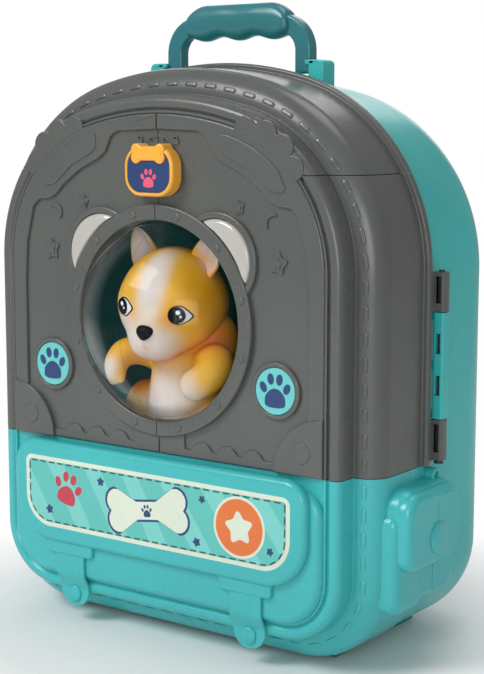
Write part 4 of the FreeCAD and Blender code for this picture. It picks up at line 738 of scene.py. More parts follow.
# %% Low plates on the panel
SHIELD_INNER = [(0.798, 0.799), (0.759, 0.78), (0.679, 0.789), (0.559, 0.847), (0.423, 0.884),
                (0.393, 0.903), (0.401, 0.946)]
SHIELD_ROUND = [2.5, 2.5, 0.8, 0.8, 2.5, 1.5, 1.0]
SHIELD_R, CORNER_DISC_R, STRIP_END, STRIP_BUMP = 69.9, 29.0, 80.0, 7.2


def farthest(turn, away, middle, lobe):
    """At each bearing the farthest point of round lobes whose centres lie away at their middles."""
    off = turn[:, None] - middle[None, :]
    side = away * np.sin(off)
    reach = away * np.cos(off) + np.sqrt(np.maximum(lobe ** 2 - side ** 2, 0.0))
    return np.where(np.abs(side) < lobe, reach, 0.0).max(1)


def cloud_plate():
    """Plate with four round lobes on its outer side; its inner side keeps to the panel's edge."""
    edge = SHOULDER_R - PANEL_INSET
    middle = np.radians(43.0 + 8.6 * np.arange(4))
    turn = np.linspace(middle[0] - 0.083, middle[-1] + 0.083, 220)
    lobes = farthest(turn, edge + np.array([1.2, 4.8, 4.8, 1.2]), middle, 6.8)
    inner = np.linspace(turn[-1], turn[0], 80)
    outline = np.concatenate([polar(SHOULDER_X, SHOULDER_Z, lobes, turn),
                              polar(SHOULDER_X, SHOULDER_Z, edge - 1.2, inner)])
    return slab(outline, -0.4, 1.3, 0.8, 4)


def shield_plate():
    """Low plate in the border's corner: its outer side is an arc, its inner side steps like the border."""
    outer = polar(SHOULDER_X, SHOULDER_Z, SHIELD_R, np.radians(np.linspace(77.0, 47.0, 40)))
    inner = rounded(shares(SHIELD_INNER), SHIELD_ROUND)
    return slab(np.concatenate([outer, inner]), -0.8, 0.6, 0.7, 4)


def corner_plate():
    """Quarter disc about the panel's lower outer corner."""
    arc = circle(PANEL_HALF, 0.0, CORNER_DISC_R, 40, 90.0, 90.0)
    return slab(np.concatenate([arc, [[PANEL_HALF, 0.0]]]), -1.0, 2.4, 0.8, 4)


def foot_strip():
    """Strip along the sill: a step by the seam, then a row of low round bumps."""
    x = np.linspace(SEAM, STRIP_END, 220)
    centres = 28.0 + 16.0 * np.arange(3)
    away = np.abs(x[:, None] - centres[None, :]).min(1)
    bump = 1.5 + np.sqrt(np.maximum(STRIP_BUMP ** 2 - away ** 2, 0.0))
    height = np.maximum(np.where(away < STRIP_BUMP, bump, 0.0), 4.2)
    height = np.where(x < 17.0, 12.0, height)
    top = np.stack([x, height], -1)[::-1]
    return slab(np.concatenate([[[SEAM, 0.0], [STRIP_END, 0.0]], top]), 0.8, 2.2, 0.6, 4)


print("low plates:", len(cloud_plate()[1]) + len(shield_plate()[1]) + len(foot_strip()[1]), "faces")

# %% [markdown]
# Round bands frame the badge and the ear insert. The ear's circle is cut where it meets the window
# ring, and the bearings of those two points come from the cosine rule.

# %% Bezels and ear insert
EAR_X, EAR_Z, EAR_R = 38.0, 102.96, 25.0
EAR_FIT = 0.5


def band_round(x, z, outer, inner, front, back_level, start=0.0, sweep=360.0, bevel=0.4):
    """Round or part-round band: a rounded section turned about its centre."""
    section = rounded([(inner, back_level), (inner, front), (outer, front), (outer, back_level)],
                      [0, bevel, bevel, 0], 25.0)
    if sweep >= 360:
        section = np.concatenate([section, section[:1]])
    return turned(section, (x, z), start=start, sweep=sweep)


def ear_span(radius, ring):
    """Bearings at which a circle about the ear meets the window ring, as start and sweep."""
    away = math.hypot(EAR_X, EAR_Z - WINDOW_Z)
    to_ring = math.degrees(math.atan2(WINDOW_Z - EAR_Z, -EAR_X))
    half = math.degrees(math.acos((radius ** 2 + away ** 2 - ring ** 2) / (2 * radius * away)))
    return to_ring + half, 360.0 - 2 * half


def ear_bezel():
    """Part-round band about the ear insert."""
    return band_round(EAR_X, EAR_Z, EAR_R, EAR_R - 3.6, -0.4, ON_FLOOR, *ear_span(EAR_R, RING_OUT), 1.2)


def ear_lens():
    """Crowned insert: each point of its outline runs in to the middle while the height swells."""
    radius, ring = EAR_R - 3.8, RING_OUT + EAR_FIT
    arc = circle(EAR_X, EAR_Z, radius, 70, *ear_span(radius, ring))
    ends = [math.degrees(math.atan2(z - WINDOW_Z, x)) for x, z in (arc[-1], arc[0])]
    chord = circle(0.0, WINDOW_Z, ring, 30, ends[0], ends[1] - ends[0])
    outline = np.concatenate([arc, chord[1:-1]])
    heart = outline.mean(0)
    share = np.sin(np.linspace(0.04, math.pi / 2, 24))[:, None, None]
    flat = heart + (outline - heart)[None] * share
    level = 0.7 - 2.2 * np.maximum(1.0 - share[..., 0] ** 6, 0.0) ** 0.5
    dome = spot(flat[..., 0], level, flat[..., 1])
    seat = spot(outline[:, 0], RECESS_D, outline[:, 1])[None]
    return grid_shell(np.concatenate([dome, seat]), wrap_cols=True, cap_rows=True)


print("ear insert:", len(ear_lens()[0]), "corners")

# %% [markdown]
# Raised stitches run round the stitched shoulder. One pill is a small swollen oval; it is laid
# down again and again at even steps of arc length, each turned to its own station, so the whole
# row is one array.

# %% Stitches
STITCH_INSET, STITCH_PITCH, STITCH_START = 8.4, 12.0, 5.0


def pill(length=8.2, width=2.6, height=0.75, sunk=0.3):
    """Swollen oval in (along, across, up): rings that shrink upwards from a sunk foot."""
    turn = around(28)
    lift = np.linspace(0, math.pi / 2, 5)[:, None]
    half = width / 2
    along = (length / 2 - half) * np.sign(np.cos(turn)) + half * np.cos(turn)
    shrink = np.cos(lift) * 0.55 + 0.45
    up = np.broadcast_to(np.sin(lift) * height, (len(lift), len(turn)))
    points = np.stack([along * shrink, half * np.sin(turn) * shrink, up], -1)
    points[0, :, 2] = -sunk
    return grid_shell(points, wrap_cols=True, cap_rows=True)


def stitch_row(path):
    """Pills at even arc length on the roll, each in the frame of its station."""
    line = line_at(path, STITCH_INSET)
    run = run_along(line)
    length = run[-1] - 2 * STITCH_START
    count = int(length / STITCH_PITCH) + 1
    at = STITCH_START + np.arange(count) * length / max(count - 1, 1)
    x, z = sampled(line, run, at).T
    bearing = np.interp(at, run, np.unwrap(path[:, 3]))
    cos, sin, none = np.cos(bearing), np.sin(bearing), 0 * bearing
    toward_rim = ROLL - STITCH_INSET
    fall = math.sqrt(ROLL ** 2 - toward_rim ** 2)
    up = np.stack([cos, none, sin], -1) * (toward_rim / ROLL) - np.array([0.0, fall / ROLL, 0.0])
    along = np.stack([-sin, none, cos], -1)
    points, faces = pill()
    basis = np.stack([along, np.cross(up, along), up], 1)
    placed = np.einsum("pk,nkd->npd", points, basis) + spot(x, SHOULDER_D + ROLL - fall, z)[:, None]
    return gathered([(corners, faces) for corners in placed])


print("one stitch:", len(pill()[1]), "faces")

# %% [markdown]
# Stars, moons, paws and bones come back in many places, raised or printed. Each is a function that
# gives an outline, so it can become a plate of any height later.

# %% Small figures
TOES = [(-0.72, 0.22, 28), (-0.27, 0.66, 8), (0.27, 0.66, -8), (0.72, 0.22, -28)]


def star(x, z, size, tilt=0.0):
    """Five-pointed star with soft corners: ten corners on two circles in turn."""
    number = np.arange(10)
    radius = np.where(number % 2 == 0, size, 0.57 * size)
    return rounded(polar(x, z, radius, np.radians(90 + tilt + 36 * number)), 0.14 * size, 30.0)


def moon(x, z, size, tilt=0.0):
    """Crescent: an outer arc and a flatter inner one between nearly the same two horns."""
    outer = polar(0.0, 0.0, size, np.radians(np.linspace(100, 260, 26)))
    inner = polar(0.45 * size, 0.0, 0.93 * size, np.radians(np.linspace(250, 110, 22)))
    return spun(np.concatenate([outer, inner]), tilt) + np.array([x, z])


def paw(x, z, size, tilt=0.0):
    """Paw print as five outlines: a rounded pad under four toes."""
    turn = around(40)
    cos, sin = np.cos(turn), np.sin(turn)
    pad = np.stack([0.62 * size * cos, -0.3 * size + 0.5 * size * sin], -1)
    pad[:, 1] -= 0.16 * size * cos ** 2 * (sin < 0)
    pad[:, 0] *= 1 - 0.22 * sin
    toe = np.stack([0.2 * size * cos, 0.29 * size * sin], -1)
    toes = [spun(toe, lean) + np.array([right * size, up * size]) for right, up, lean in TOES]
    return [spun(outline, tilt) + np.array([x, z]) for outline in [pad] + toes]


def bone(x, z, half, lobe, waist, spread, tilt=0.0, count=90):
    """Bone: at each bearing the farthest of four lobe circles and a waist bar."""
    turn = around(count)
    way = np.stack([np.cos(turn), np.sin(turn)], -1)
    centres = np.array([(right * half, up * spread) for right in (-1, 1) for up in (-1, 1)])
    along = way @ centres.T
    off = np.sum(centres ** 2, 1)[None] - along ** 2
    reach = np.where(off < lobe ** 2, along + np.sqrt(np.maximum(lobe ** 2 - off, 0.0)), 0.0).max(1)
    bar = waist / np.maximum(np.abs(way[:, 1]), 1e-3)
    bar = np.where(bar * np.abs(way[:, 0]) <= half, bar, 0.0)
    return spun(way * np.maximum(reach, bar)[:, None], tilt) + np.array([x, z])


def emblems():
    """Raised figures on the sunk floor: stepped stars, a moon, a padlock and half of a turn arrow."""
    top, arrow_top = RECESS_D - 1.0, RECESS_D - 0.35
    figures = [star(51.4, 130.1, 4.2, 10), moon(71.4, 123.9, 4.6, -40), star(74.9, 103.6, 6.8, -8),
               rounded_box(9.8, 13.7, 160.8, 163.5, 0.5, 30.0)]
    steps = [star(51.4, 130.1, 2.3, 10), star(74.9, 103.6, 3.8, -8)]
    shells = [slab(figure, top, ON_FLOOR, 0.2, 3) for figure in figures]
    shells += [slab(step, top - 0.5, top + 0.2, 0.2, 3) for step in steps]
    shells.append(band_round(11.7, 163.6, 1.7, 1.0, top, ON_FLOOR, 0.0, 180.0, 0.15))
    shells.append(band_round(0.0, 158.6, 6.9, 5.9, arrow_top, ON_FLOOR, 40.0, 48.0, 0.15))
    shells.append(slab([(4.0, 164.6), (6.6, 163.0), (3.3, 161.6)], arrow_top, ON_FLOOR, 0.12, 2))
    return shells


print("emblems on a leaf:", len(emblems()), "shells")

# %% [markdown]
# A door leaf hangs on two short blocks above and below a long one that belongs to the shell; a pin
# runs through all three and shows in their slots. A slot could be cut with a boolean modifier. Here
# the block is stacked instead from two sections, a closed square and one that is open to the front,
# which leaves clean faces and no cutter to keep in step.

# %% Hinge knuckles
HINGE_X, HINGE_D = 131.0, 65.0


def hinge_block(low, high, slots):
    """Upright block round the pin: a rounded square section, open to the front along each slot."""
    half, slot, floor_d = 3.2, 1.3, 0.4
    opened = [(-half, -half), (-slot, -half), (-slot, floor_d), (slot, floor_d), (slot, -half),
              (half, -half), (half, half), (-half, half)]
    sections = [rounded_box(-half, half, -half, half, 1.5, 12.0),
                rounded(opened, [1.5, 0.2, 0, 0, 0.2, 1.5, 1.5, 1.5], 12.0)]
    edges = [low] + [edge for pair in slots for edge in pair] + [high]
    pin = np.array([HINGE_X, HINGE_D])
    return [slab(sections[k % 2] + pin, edges[k + 1], edges[k], 0.12, 2, 0.12, to=facing_up)
            for k in range(len(edges) - 1)]


def door_knuckle(low, high):
    """Slotted block with its leaf, a plate that runs forward to the door's rim."""
    leaf = rounded_box(55.5, HINGE_D - 1.0, low, high, [0.3, 0, 0, 0.3])
    plate = slab(leaf, HINGE_X - 1.3, HINGE_X - 3.0, 0.25, 2, to=facing_side)
    return hinge_block(low, high, [(low + 4.2, high - 2.3)]) + [plate]


def middle_knuckle(low=23.4, high=77.6):
    """Long middle block with two slots, tied to the shell by three bars."""
    shells = hinge_block(low, high, [(35.5, 45.6), (56.8, 66.9)])
    for foot, head in ((low, low + 4), (48.5, 52.5), (high - 4, high)):
        bar = rounded_box(124.6, HINGE_X, foot, head, 0.2)
        shells.append(slab(bar, HINGE_D - 1.3, HINGE_D + 1.3, 0.2, 2))
    return shells


print("hinge: pin at x %.1f, depth %.1f" % (HINGE_X, HINGE_D))

# %% [markdown]
# Now the two doors can be put together. The right leaf carries the knob's bearing; the left one
# is its mirror. Both are single pieces with many shells, as they are single mouldings.

# %% Doors
BADGE_X, BADGE_Z, KNOB_Z = 74.5, 40.5, 147.2


def door_shells():
    """Everything that is moulded in one with the right leaf, apart from the knob's bearing."""
    shells = [door_edge(), panel_floor(), raised_border(), cloud_plate(), corner_plate(), foot_strip()]
    shells.append(shield_plate())
    shells.append(slab(circle(PANEL_HALF - 12.5, 11.5, 5.6, 40), -1.5, 0.0, 0.6, 4))
    shells.append(band_round(BADGE_X, BADGE_Z, 14.5, 11.9, 0.0, RECESS_D + 0.3, bevel=0.9))
    shells.append(ear_bezel())
    shells += door_knuckle(2.0, 23.0) + door_knuckle(78.0, 98.0) + emblems()
    path = joined(right_side(1.0, SHOULDER_Z, 30), right_shoulder(120))
    shells.append(stitch_row(path[line_at(path, STITCH_INSET)[:, 1] < ARCH_SEAM - 1.0]))
    return shells


door = door_shells()
bearing = slab(circle(0.0, KNOB_Z, 7.0, 48), 1.2, 5.0, 0.1, 1)
other_door = [mirrored(shell) for shell in door]
add_piece("right_door_leaf", all_in(GREY, door + [bearing]), "right_leaf", ["right_door"])
add_piece("left_door_leaf", all_in(GREY, other_door), "left_leaf", ["left_door"])

# %% [markdown]
# The fixed arch over the doors and the lower front are two mouldings with the same rolled edge, so
# both reuse the edge section from above and only follow another stretch of the outline. Modelling
# them apart by hand would never make the rolls meet at the seams; sharing one section does.

# %% Arch and lower front
arch_path = joined(right_shoulder(120), crown(80), other_side(right_shoulder(120)))
above_seam = line_at(arch_path, STITCH_INSET)[:, 1] > ARCH_SEAM + 1.0
arch = [arch_edge(), stitch_row(arch_path[above_seam])]
add_piece("top_arch_moulding", all_in(GREY, arch), "case", ["top_arch"])
low_path = joined(right_corner(60), right_side(CORNER_Z, -2.0, 20))
low_path = joined(other_side(low_path), bottom(60), low_path)
plate_half = HALF - 20.5
plate = rounded_box(-plate_half, plate_half, -79.5, -GAP, [27, 27, 0.5, 0.5])
lower = [lower_edge(), slab(plate, 2.0, 4.4, 0.2, 2), stitch_row(low_path)]
add_piece("lower_front_moulding", all_in(TEAL, lower), "case", ["lower_front"])

# %% [markdown]
# The back shell is a deep tub: the same outline, a little smaller and lower, run straight back and
# rolled over a large radius into the flat back. Outer skin, front edge and inner skin are one
# strip carried round the whole outline, and two flat faces close the back.

# %% Back shell
SHELL_DROP = 3.5


def shell_strip():
    """Skin of the tub in (inset, depth): outer roll, front edge, then the inner roll."""
    turn = np.linspace(0, math.pi / 2, 14)
    outer, inner = [polar(37.0, 107.0, radius, turn + math.pi / 2) for radius in (36.0, 36.0 - WALL)]
    front = [[1.0, 80.0], [1.0, 58.9], [1.3, FRONT_D], [3.1, FRONT_D], [3.4, 58.9], [3.4, 80.0]]
    return np.concatenate([outer, front, inner[::-1]]).T


def whole_outline():
    """Stations all round the case, the shoulders and the crown lowered."""
    right = joined(right_corner(26), right_side(CORNER_Z, SHOULDER_Z, 14), right_shoulder(40))
    path = joined(right, crown(36), other_side(right), bottom(20))[:-1].copy()
    arched = (path[:, 2] == SHOULDER_R) | (path[:, 2] == CROWN_R)
    path[arched, 1] -= SHELL_DROP
    return path


def tub_shell():
    """The strip carried round, with a flat face over its first and its last column."""
    grid = carried(whole_outline(), *shell_strip())
    points, faces = grid_shell(grid, wrap_rows=True)
    rows, cols = grid.shape[:2]
    for column in (0, cols - 1):
        faces.append([row * cols + column for row in range(rows)])
    return points, faces


def eyelet():
    """Short tube that stands out sideways: a ring section turned about its axis."""
    section = [(2.1, 124.0), (2.1, 130.9), (2.4, 131.5), (3.4, 131.5), (3.9, 131.0), (3.9, 124.0),
               (2.1, 124.0)]
    return turned(section, (62.5, -5.7), facing_side, 32)


tub = [tub_shell()]
for shell in middle_knuckle() + [eyelet()]:
    tub += [shell, mirrored(shell)]
add_piece("back_shell_tub", all_in(TEAL_SHELL, tub), "case", ["back_shell"])

# %% [markdown]
# The window has two half rings with a rounded section and a row of rivets. Each rivet is a quarter
# ellipse turned about its own axis.

# %% Window ring and rivets
RING_FRONT, RIVET_R, TIP = -1.2, 56.6, 0.02


def ring_half():
    """Right half of the ring: its section turned from seam to seam."""
    section = rounded_box(RING_IN, RING_OUT, RING_FRONT, RECESS_D, [1.0, 1.0, 0, 0], 15.0)
    start = -math.degrees(math.acos(SEAM / RING_IN))
    return turned(section, (0.0, WINDOW_Z), count=90, start=start, sweep=-2 * start)


def rivet(x, z, radius=2.0, height=0.9):
    """Round-headed rivet: a quarter ellipse turned about its axis."""
    turn = np.linspace(0, math.pi / 2, 7)
    head = np.stack([radius * np.cos(turn), RING_FRONT - height * np.sin(turn)], -1)
    head[-1, 0] = TIP
    foot = RING_FRONT + 0.2
    return turned(np.concatenate([[(TIP, foot), (radius, foot)], head]), (x, z), count=20)


places = circle(0.0, WINDOW_Z, RIVET_R, 12, 15.0)
ring = [ring_half()] + [rivet(x, z) for x, z in places if x > 0]
add_pair("window_ring", all_in(GREY, ring), "ring")

# %% [markdown]
# The dome is blown from clear plastic in two halves. A glass shader would bend the light twice and
# need many bounces. A thin wall hardly bends anything, so a transparent shader mixed with a mirror
# is closer: the mix follows the angle of view, clear in the middle and glossy towards the rim.
# The pale ear inserts beside the window come last; they are solid, low lenses.

# %% Clear dome
FLANGE_R, FLANGE_BACK = 56.0, 4.4


def clear_plastic():
    """Clear shell: see-through face on, glossy at a glancing angle, with faint mould haze."""
    paint = new_paint("clear dome plastic")
    paint.feed(paint.shader, {"Base Color": (0.9, 0.93, 0.93, 1.0), "Metallic": 1.0})
    paint.surface_detail(0.05, 0.02, 240.0, 0.01)
    see = paint.node("BsdfTransparent", {"Color": (0.95, 0.965, 0.965, 1.0)})
    glance = paint.node("LayerWeight", {}).outputs["Facing"]
    share = paint.ranged(glance, 0.006, 0.4, 0.42, 0.96)
    paint.blended(share, see.outputs["BSDF"], paint.shader.outputs["BSDF"])
    return paint.owner


def dome_half(base=51.8, height=31.0, wall=1.4):
    """Half cap: outer and inner arcs of one sphere centre, joined at the collar."""
    outer = (base ** 2 + height ** 2) / (2 * height)
    centre = outer - height
    share = np.linspace(0.002, 1.0, 26) * math.asin(base / outer)
    skins = [np.stack([radius * np.sin(share), centre - radius * np.cos(share)], -1)
             for radius in (outer, outer - wall)]
    seat = PANEL_BACK + 0.1
    flange = [[base, seat], [FLANGE_R, seat], [FLANGE_R, FLANGE_BACK], [base - wall, FLANGE_BACK]]
    section = np.concatenate([skins[0], flange, skins[1][::-1]])
    start = -90.0 + math.degrees(SEAM / base)
    return turned(section, (0.0, WINDOW_Z), count=64, start=start, sweep=-2 * start)


CLEAR = clear_plastic()
add_pair("dome", [(dome_half(), CLEAR)], "bubble", even=False)
add_pair("ear_lens", [(ear_lens(), PALE)], "ear")

# %% [markdown]
# Each badge is a disc pressed into a collar on the leaf, with a paw printed on it. The print is a
# set of very thin plates rather than a picture, so its edge stays sharp at any distance.

# %% Paw badges
BADGE = plastic("badge print", (96, 196, 194), 0.22, coat=0.5)
INK = plastic("navy ink", (34, 64, 112), 0.3)
disc = slab(circle(BADGE_X, BADGE_Z, 11.75, 72), 0.25, RECESS_D, 0.3, 3)
prints = [slab(outline, 0.17, 0.4, 0.02, 1) for outline in paw(BADGE_X, BADGE_Z - 0.5, 9.8)]
add_pair("badge_disc", [(disc, BADGE)] + all_in(INK, prints), "paw_badge")

# %% [markdown]
# The knob turns a bar behind the door. It is one orange moulding: a rim that stands up round a navy
# plate, with a bone along its top. The rim is a band between two copies of one outline, rolled over
# by listing its inset and depth ring by ring, which is easier to steer than a bevel.

# %% Knob with bone
ROSE = plastic("rose ink", (226, 92, 118), 0.3)
BONE_Z, KNOB_BACK = KNOB_Z + 9.0, 0.7
RIM_RINGS = [(0.0, KNOB_BACK), (0.0, -5.0), (0.25, -5.9), (0.9, -6.5), (1.5, -6.6), (1.9, -6.45),
             (2.1, -6.1), (2.1, KNOB_BACK)]


def knob_outline(margin):
    """Rounded outline of the knob, drawn in by a margin."""
    width, height = 16.0 - margin, 12.9 - margin
    return rounded_box(-width, width, KNOB_Z - height, KNOB_Z + height, 10.4 - margin, 8.0)


rings = [facing_front(*knob_outline(inset).T, depth) for inset, depth in RIM_RINGS]
knob = [grid_shell(np.stack(rings), wrap_rows=True, wrap_cols=True),
        slab(knob_outline(1.8), -5.2, 0.6, 0.1, 1),
        slab(bone(0.0, BONE_Z, 7.6, 3.3, 3.6, 1.9), -7.3, KNOB_BACK, 0.9, 5),
        slab(bone(0.0, BONE_Z, 7.3, 2.3, 2.5, 1.7), -7.5, -7.0, 0.2, 2)]
add_piece("knob_rim_and_bone", all_in(ORANGE, knob), "turn_knob", ["knob"])
face = slab(knob_outline(2.15), -6.1, -5.1, 0.2, 2)
prints = [slab(outline, -6.3, -5.9, 0.12, 2) for outline in paw(0.0, KNOB_Z - 3.9, 5.4)]
face_parts = [(face, NAVY)] + all_in(ROSE, prints)
add_piece("knob_face_plate", face_parts, "turn_knob", ["knob_face"])

# %% [markdown]
# The lower front is dressed like a satchel: a padded-looking pocket, a flap with a printed label,
# and two straps that end in snaps. These are hard mouldings, so they are plates with generous
# rolled edges.

# %% Pocket and flap
POCKET_HALF, FLAP_HALF, FLAP_FRONT = 103.5, 97.5, -7.2


def flap_outline(margin):
    """Outline of the label flap, drawn in by a margin."""
    half = FLAP_HALF - margin
    radii = np.array([26.0, 26.0, 13.0, 13.0]) - margin
    return rounded_box(-half, half, -58.0 + margin, -1.4 - margin, radii, 5.0)


pocket = rounded_box(-POCKET_HALF, POCKET_HALF, -77.6, -6.0, [26, 26, 15, 15], 6.0)
pocket_parts = [(slab(pocket, -3.0, 2.0, 4.2, 7), TEAL)]
flap_parts = [(slab(flap_outline(0.0), FLAP_FRONT, -3.0, 3.2, 7), TEAL)]
add_piece("pocket_panel", pocket_parts, "case", ["front_pocket"])
add_piece("label_flap_plate", flap_parts, "case", ["label_flap"])

# %% [markdown]
# The label is a thin printed decal: a cream border, a dashed line and a teal field with motifs.
# A print could be painted on by nodes, but as plates a few hundredths of a millimetre high, one
# over the other, each colour keeps a crisp edge from any distance.

# %% Label print
FIELD_D, DASH_D = -7.33, -7.42
BOX_ENDS = np.array([(-1, -1), (1, -1), (1, 1), (-1, 1)])
BOX_FACES = np.array([(0, 1, 2, 3), (7, 6, 5, 4), (0, 4, 5, 1), (1, 5, 6, 2), (2, 6, 7, 3), (3, 7, 4, 0)])


def label_field():
    """Printed field: teal with soft slanting waves a shade lighter."""
    paint = new_paint("label print")
    slanted = paint.mapped({"Rotation": (0.0, 0.6, 0.0)})
    shape = {"Scale": 13.0, "Distortion": 2.4, "Detail": 0.0, "Detail Scale": 0.7}
    wave = paint.node("TexWave", {"Vector": slanted, **shape})
    stripe = paint.ranged(wave.outputs["Fac"], 0.0, 1.0, 0.55, 0.62)
    colour = paint.mixed(stripe, linear(84, 184, 176), linear(112, 198, 190))
    paint.feed(paint.shader, {"Base Color": colour, "Coat Weight": 0.4})
    paint.surface_detail(0.28, 0.04, 900.0, 0.04)
    return paint.owner


def dashes(loop, pitch=6.2, length=4.0, width=0.8):
    """Short printed dashes at even steps round a closed line: one small box per step."""
    loop = np.concatenate([loop, loop[:1]])
    run = run_along(loop)
    count = int(run[-1] / pitch)
    at = (np.arange(count) + 0.5) * run[-1] / count
    middle = sampled(loop, run, at)
    ahead = unit(sampled(loop, run, (at + 0.5) % run[-1]) - middle)[:, None]
    aside = np.stack([-ahead[..., 1], ahead[..., 0]], -1)
    flat = middle[:, None] + ahead * BOX_ENDS[:, :1] * length / 2 + aside * BOX_ENDS[:, 1:] * width / 2
    sides = [facing_front(flat[..., 0], flat[..., 1], level) for level in (DASH_D, FLAP_FRONT)]
    return gathered([(corners, BOX_FACES) for corners in np.concatenate(sides, 1)])


LABEL = label_field()
CREAM = plastic("cream print", (214, 224, 206), 0.3, coat=0.3)
THREAD = plastic("thread print", (58, 80, 80), 0.4)
RUST = plastic("orange print", (222, 112, 42), 0.3, coat=0.4)
BERRY = plastic("berry print", (192, 44, 66), 0.3, coat=0.4)
small_stars = [(-34.0, -19.0, 3.0), (-71.5, -39.5, 3.2), (31.0, -41.5, 3.0), (34.5, -18.5, 2.6),
               (77.0, -39.0, 2.6)]
motifs = [(INK, 0.04, [bone(-2.0, -30.0, 20.5, 7.8, 6.0, 5.2, 8.0)]),
          (CREAM, 0.08, [bone(-2.0, -30.0, 20.2, 6.7, 4.8, 5.1, 8.0)]),
          (INK, 0.12, paw(-2.0, -30.4, 3.8, 8.0)),
          (BERRY, 0.04, paw(-58.0, -27.0, 10.4, -14.0)),
          (CREAM, 0.04, [circle(58.0, -29.5, 16.0, 72)]),
          (RUST, 0.08, [circle(58.0, -29.5, 14.6, 72)]),
          (CREAM, 0.12, [star(58.0, -29.9, 10.0, 6.0)]),
          (INK, 0.04, [star(*place, 12.0 * k) for k, place in enumerate(small_stars)])]
label_parts = [(slab(flap_outline(8.7), -7.28, -6.9, 0.05, 1), CREAM),
               (slab(flap_outline(11.0), FIELD_D, -7.0, 0.04, 1), LABEL),
               (dashes(flap_outline(11.7)), THREAD)]
for ink, height, outlines in motifs:
    label_parts += all_in(ink, [slab(line, FIELD_D - height, FLAP_FRONT, 0.05, 1) for line in outlines])
add_piece("label_decal", label_parts, "case", ["label_sticker"], even=False)

# %% [markdown]
# Two moulded straps come down from under the label flap, bend over the edge of the pocket and end
# in round tabs with a snap each. A strap is a flat section carried along a bent path, with its own
# width at each station, so the round tab is simply where the width follows a circle.

# %% Straps and snaps
STRAP_X, STRAP_END, TAB_R = 59.5, -94.0, 9.6
STRAP_PATH = [(-3.95, -58.4), (-3.95, -75.5), (-0.05, -83.0), (-0.05, STRAP_END)]


def ribbon(path, half, thick=1.9, edge=0.6):
    """Flat band along a path in (depth, rise): rounded rectangle section, half width per station."""
    ahead = unit(np.gradient(path, axis=0))
    cos, sin = np.cos(around(24)), np.sin(around(24))
    x = np.sign(cos) * np.maximum(half[:, None] - edge, 0.05) + edge * cos
    off = np.sign(sin) * (thick / 2 - edge) + edge * sin
    points = spot(STRAP_X + x, path[:, :1] + ahead[:, 1:] * off, path[:, 1:] - ahead[:, :1] * off)
    return grid_shell(points, wrap_cols=True, cap_rows=True)


def strap_shells():
    """Band with its round tab, and the wider clip at its upper end."""
    line = np.array(STRAP_PATH)
    run = run_along(line)
    path = relaxed(sampled(line, run, np.linspace(0, run[-1], 60)), 6)
    end = np.clip((STRAP_END + TAB_R - path[:, 1]) / TAB_R, 0, 1)
    half = np.minimum(10.0, 0.7 + 9.3 * np.sqrt(np.maximum(1 - end ** 2, 0.0)))
    clip = rounded_box(STRAP_X - 16.4, STRAP_X + 16.4, -64.6, -56.0, [3.0, 3.0, 1.2, 1.2])
    return [ribbon(path, half), slab(clip, -5.4, -2.6, 1.2, 5)]


def snap_profile(radius, height):
    """Button in (radius, level): a short straight side, then a flattened quarter ellipse to the middle."""
    level, side = -1.0, 0.5
    turn = np.linspace(0, math.pi / 2, 10)
    dome = np.stack([radius * np.cos(turn) ** 0.7, level - side - (height - side) * np.sin(turn)], -1)
    dome[-1, 0] = TIP
    foot = level + 0.3
    return np.concatenate([[(TIP, foot), (radius, foot)], dome])


add_pair("strap_band", all_in(TEAL, strap_shells()), "strap", "case")
button = turned(snap_profile(4.6, 1.8), (STRAP_X, -87.0), count=48)
add_piece("strap_snaps", all_in(TEAL, [button, mirrored(button)]), "case", ["strap_buttons"])

# %% [markdown]
# A pouch with a flap stands on the right side. Its box is two blocks with soft rolls; the rear one
# stands out a little less and has a ridge on it. The flap is two blocks as well: a cover with a tight
# roll, and one that rolls over its top in a wide curve and runs in to the wall of the case. A thin
# plate behind the button makes the line that crosses the flap's face.

# %% Side pouch
FLAP_FACE = 139.6
BOX_IN, COVER_IN, OVER_IN = 119.0, 131.0, 122.0


def side_plate(spans, radii, step, outer, inner, roll, steps=9):
    """Block that stands out sideways: a rounded box in (depth, rise), rolled towards its face."""
    return slab(rounded_box(*spans, radii, step), outer, inner, roll, steps, to=facing_side)


pouch = [side_plate((19.6, 46.6, -70.2, -17.4), [6.5, 6.0, 6.0, 8.0], 8.0, 133.6, BOX_IN, 5.6),
         side_plate((34.0, 82.0, -67.4, -12.6), [5.0, 9.0, 9.0, 5.0], 8.0, 132.4, BOX_IN, 4.6),
         side_plate((58.0, 73.0, -64.4, -40.0), 0.4, 10.0, 132.8, 131.6, 0.3, 2)]
flap = [side_plate((22.2, 74.6, -48.2, -8.4), [8.0, 13.0, 12.0, 11.0], 6.0, FLAP_FACE, COVER_IN, 4.4),
        side_plate((22.2, 74.9, -30.0, -6.8), [9.0, 9.0, 12.0, 11.0], 6.0, 138.6, OVER_IN, 8.4),
        side_plate((51.2, 72.4, -46.2, -12.6), [0.6, 11.5, 9.0, 0.6], 8.0, 139.95, 139.0, 0.35, 3)]
snap = [(radius, FLAP_FACE - (level + 1.0)) for radius, level in snap_profile(8.4, 1.6)]
snap_parts = [(turned(snap, (51.0, -34.2), facing_side, 48), TEAL)]
add_piece("right_pouch_box", all_in(TEAL, pouch), "case", ["right_pouch"])
add_piece("right_pouch_flap", all_in(TEAL, flap), "case", ["right_flap"])
add_piece("pouch_snap", snap_parts, "case", ["flap_button"])

# %% [markdown]
# The handle is a bail with flat arms and a swollen grip. The arms are one plate with wide elbows.
# The grip is a surface of its own: along it, one curve gives the top, a wave gives the underside
# with its finger hollows, and an oval section fills the space between. Both ends are rolled.
# Two brackets hold its feet.

# %% Handle
HANDLE_D, ARM_HALF, ARM_OUT, ARM_IN = 73.1, 3.75, 48.0, 38.0
GRIP_TOP, GRIP_UNDER, WAVE, WAVE_LENGTH = 235.4, 216.9, 1.1, 22.8
BRACKET_FRONT = 66.6


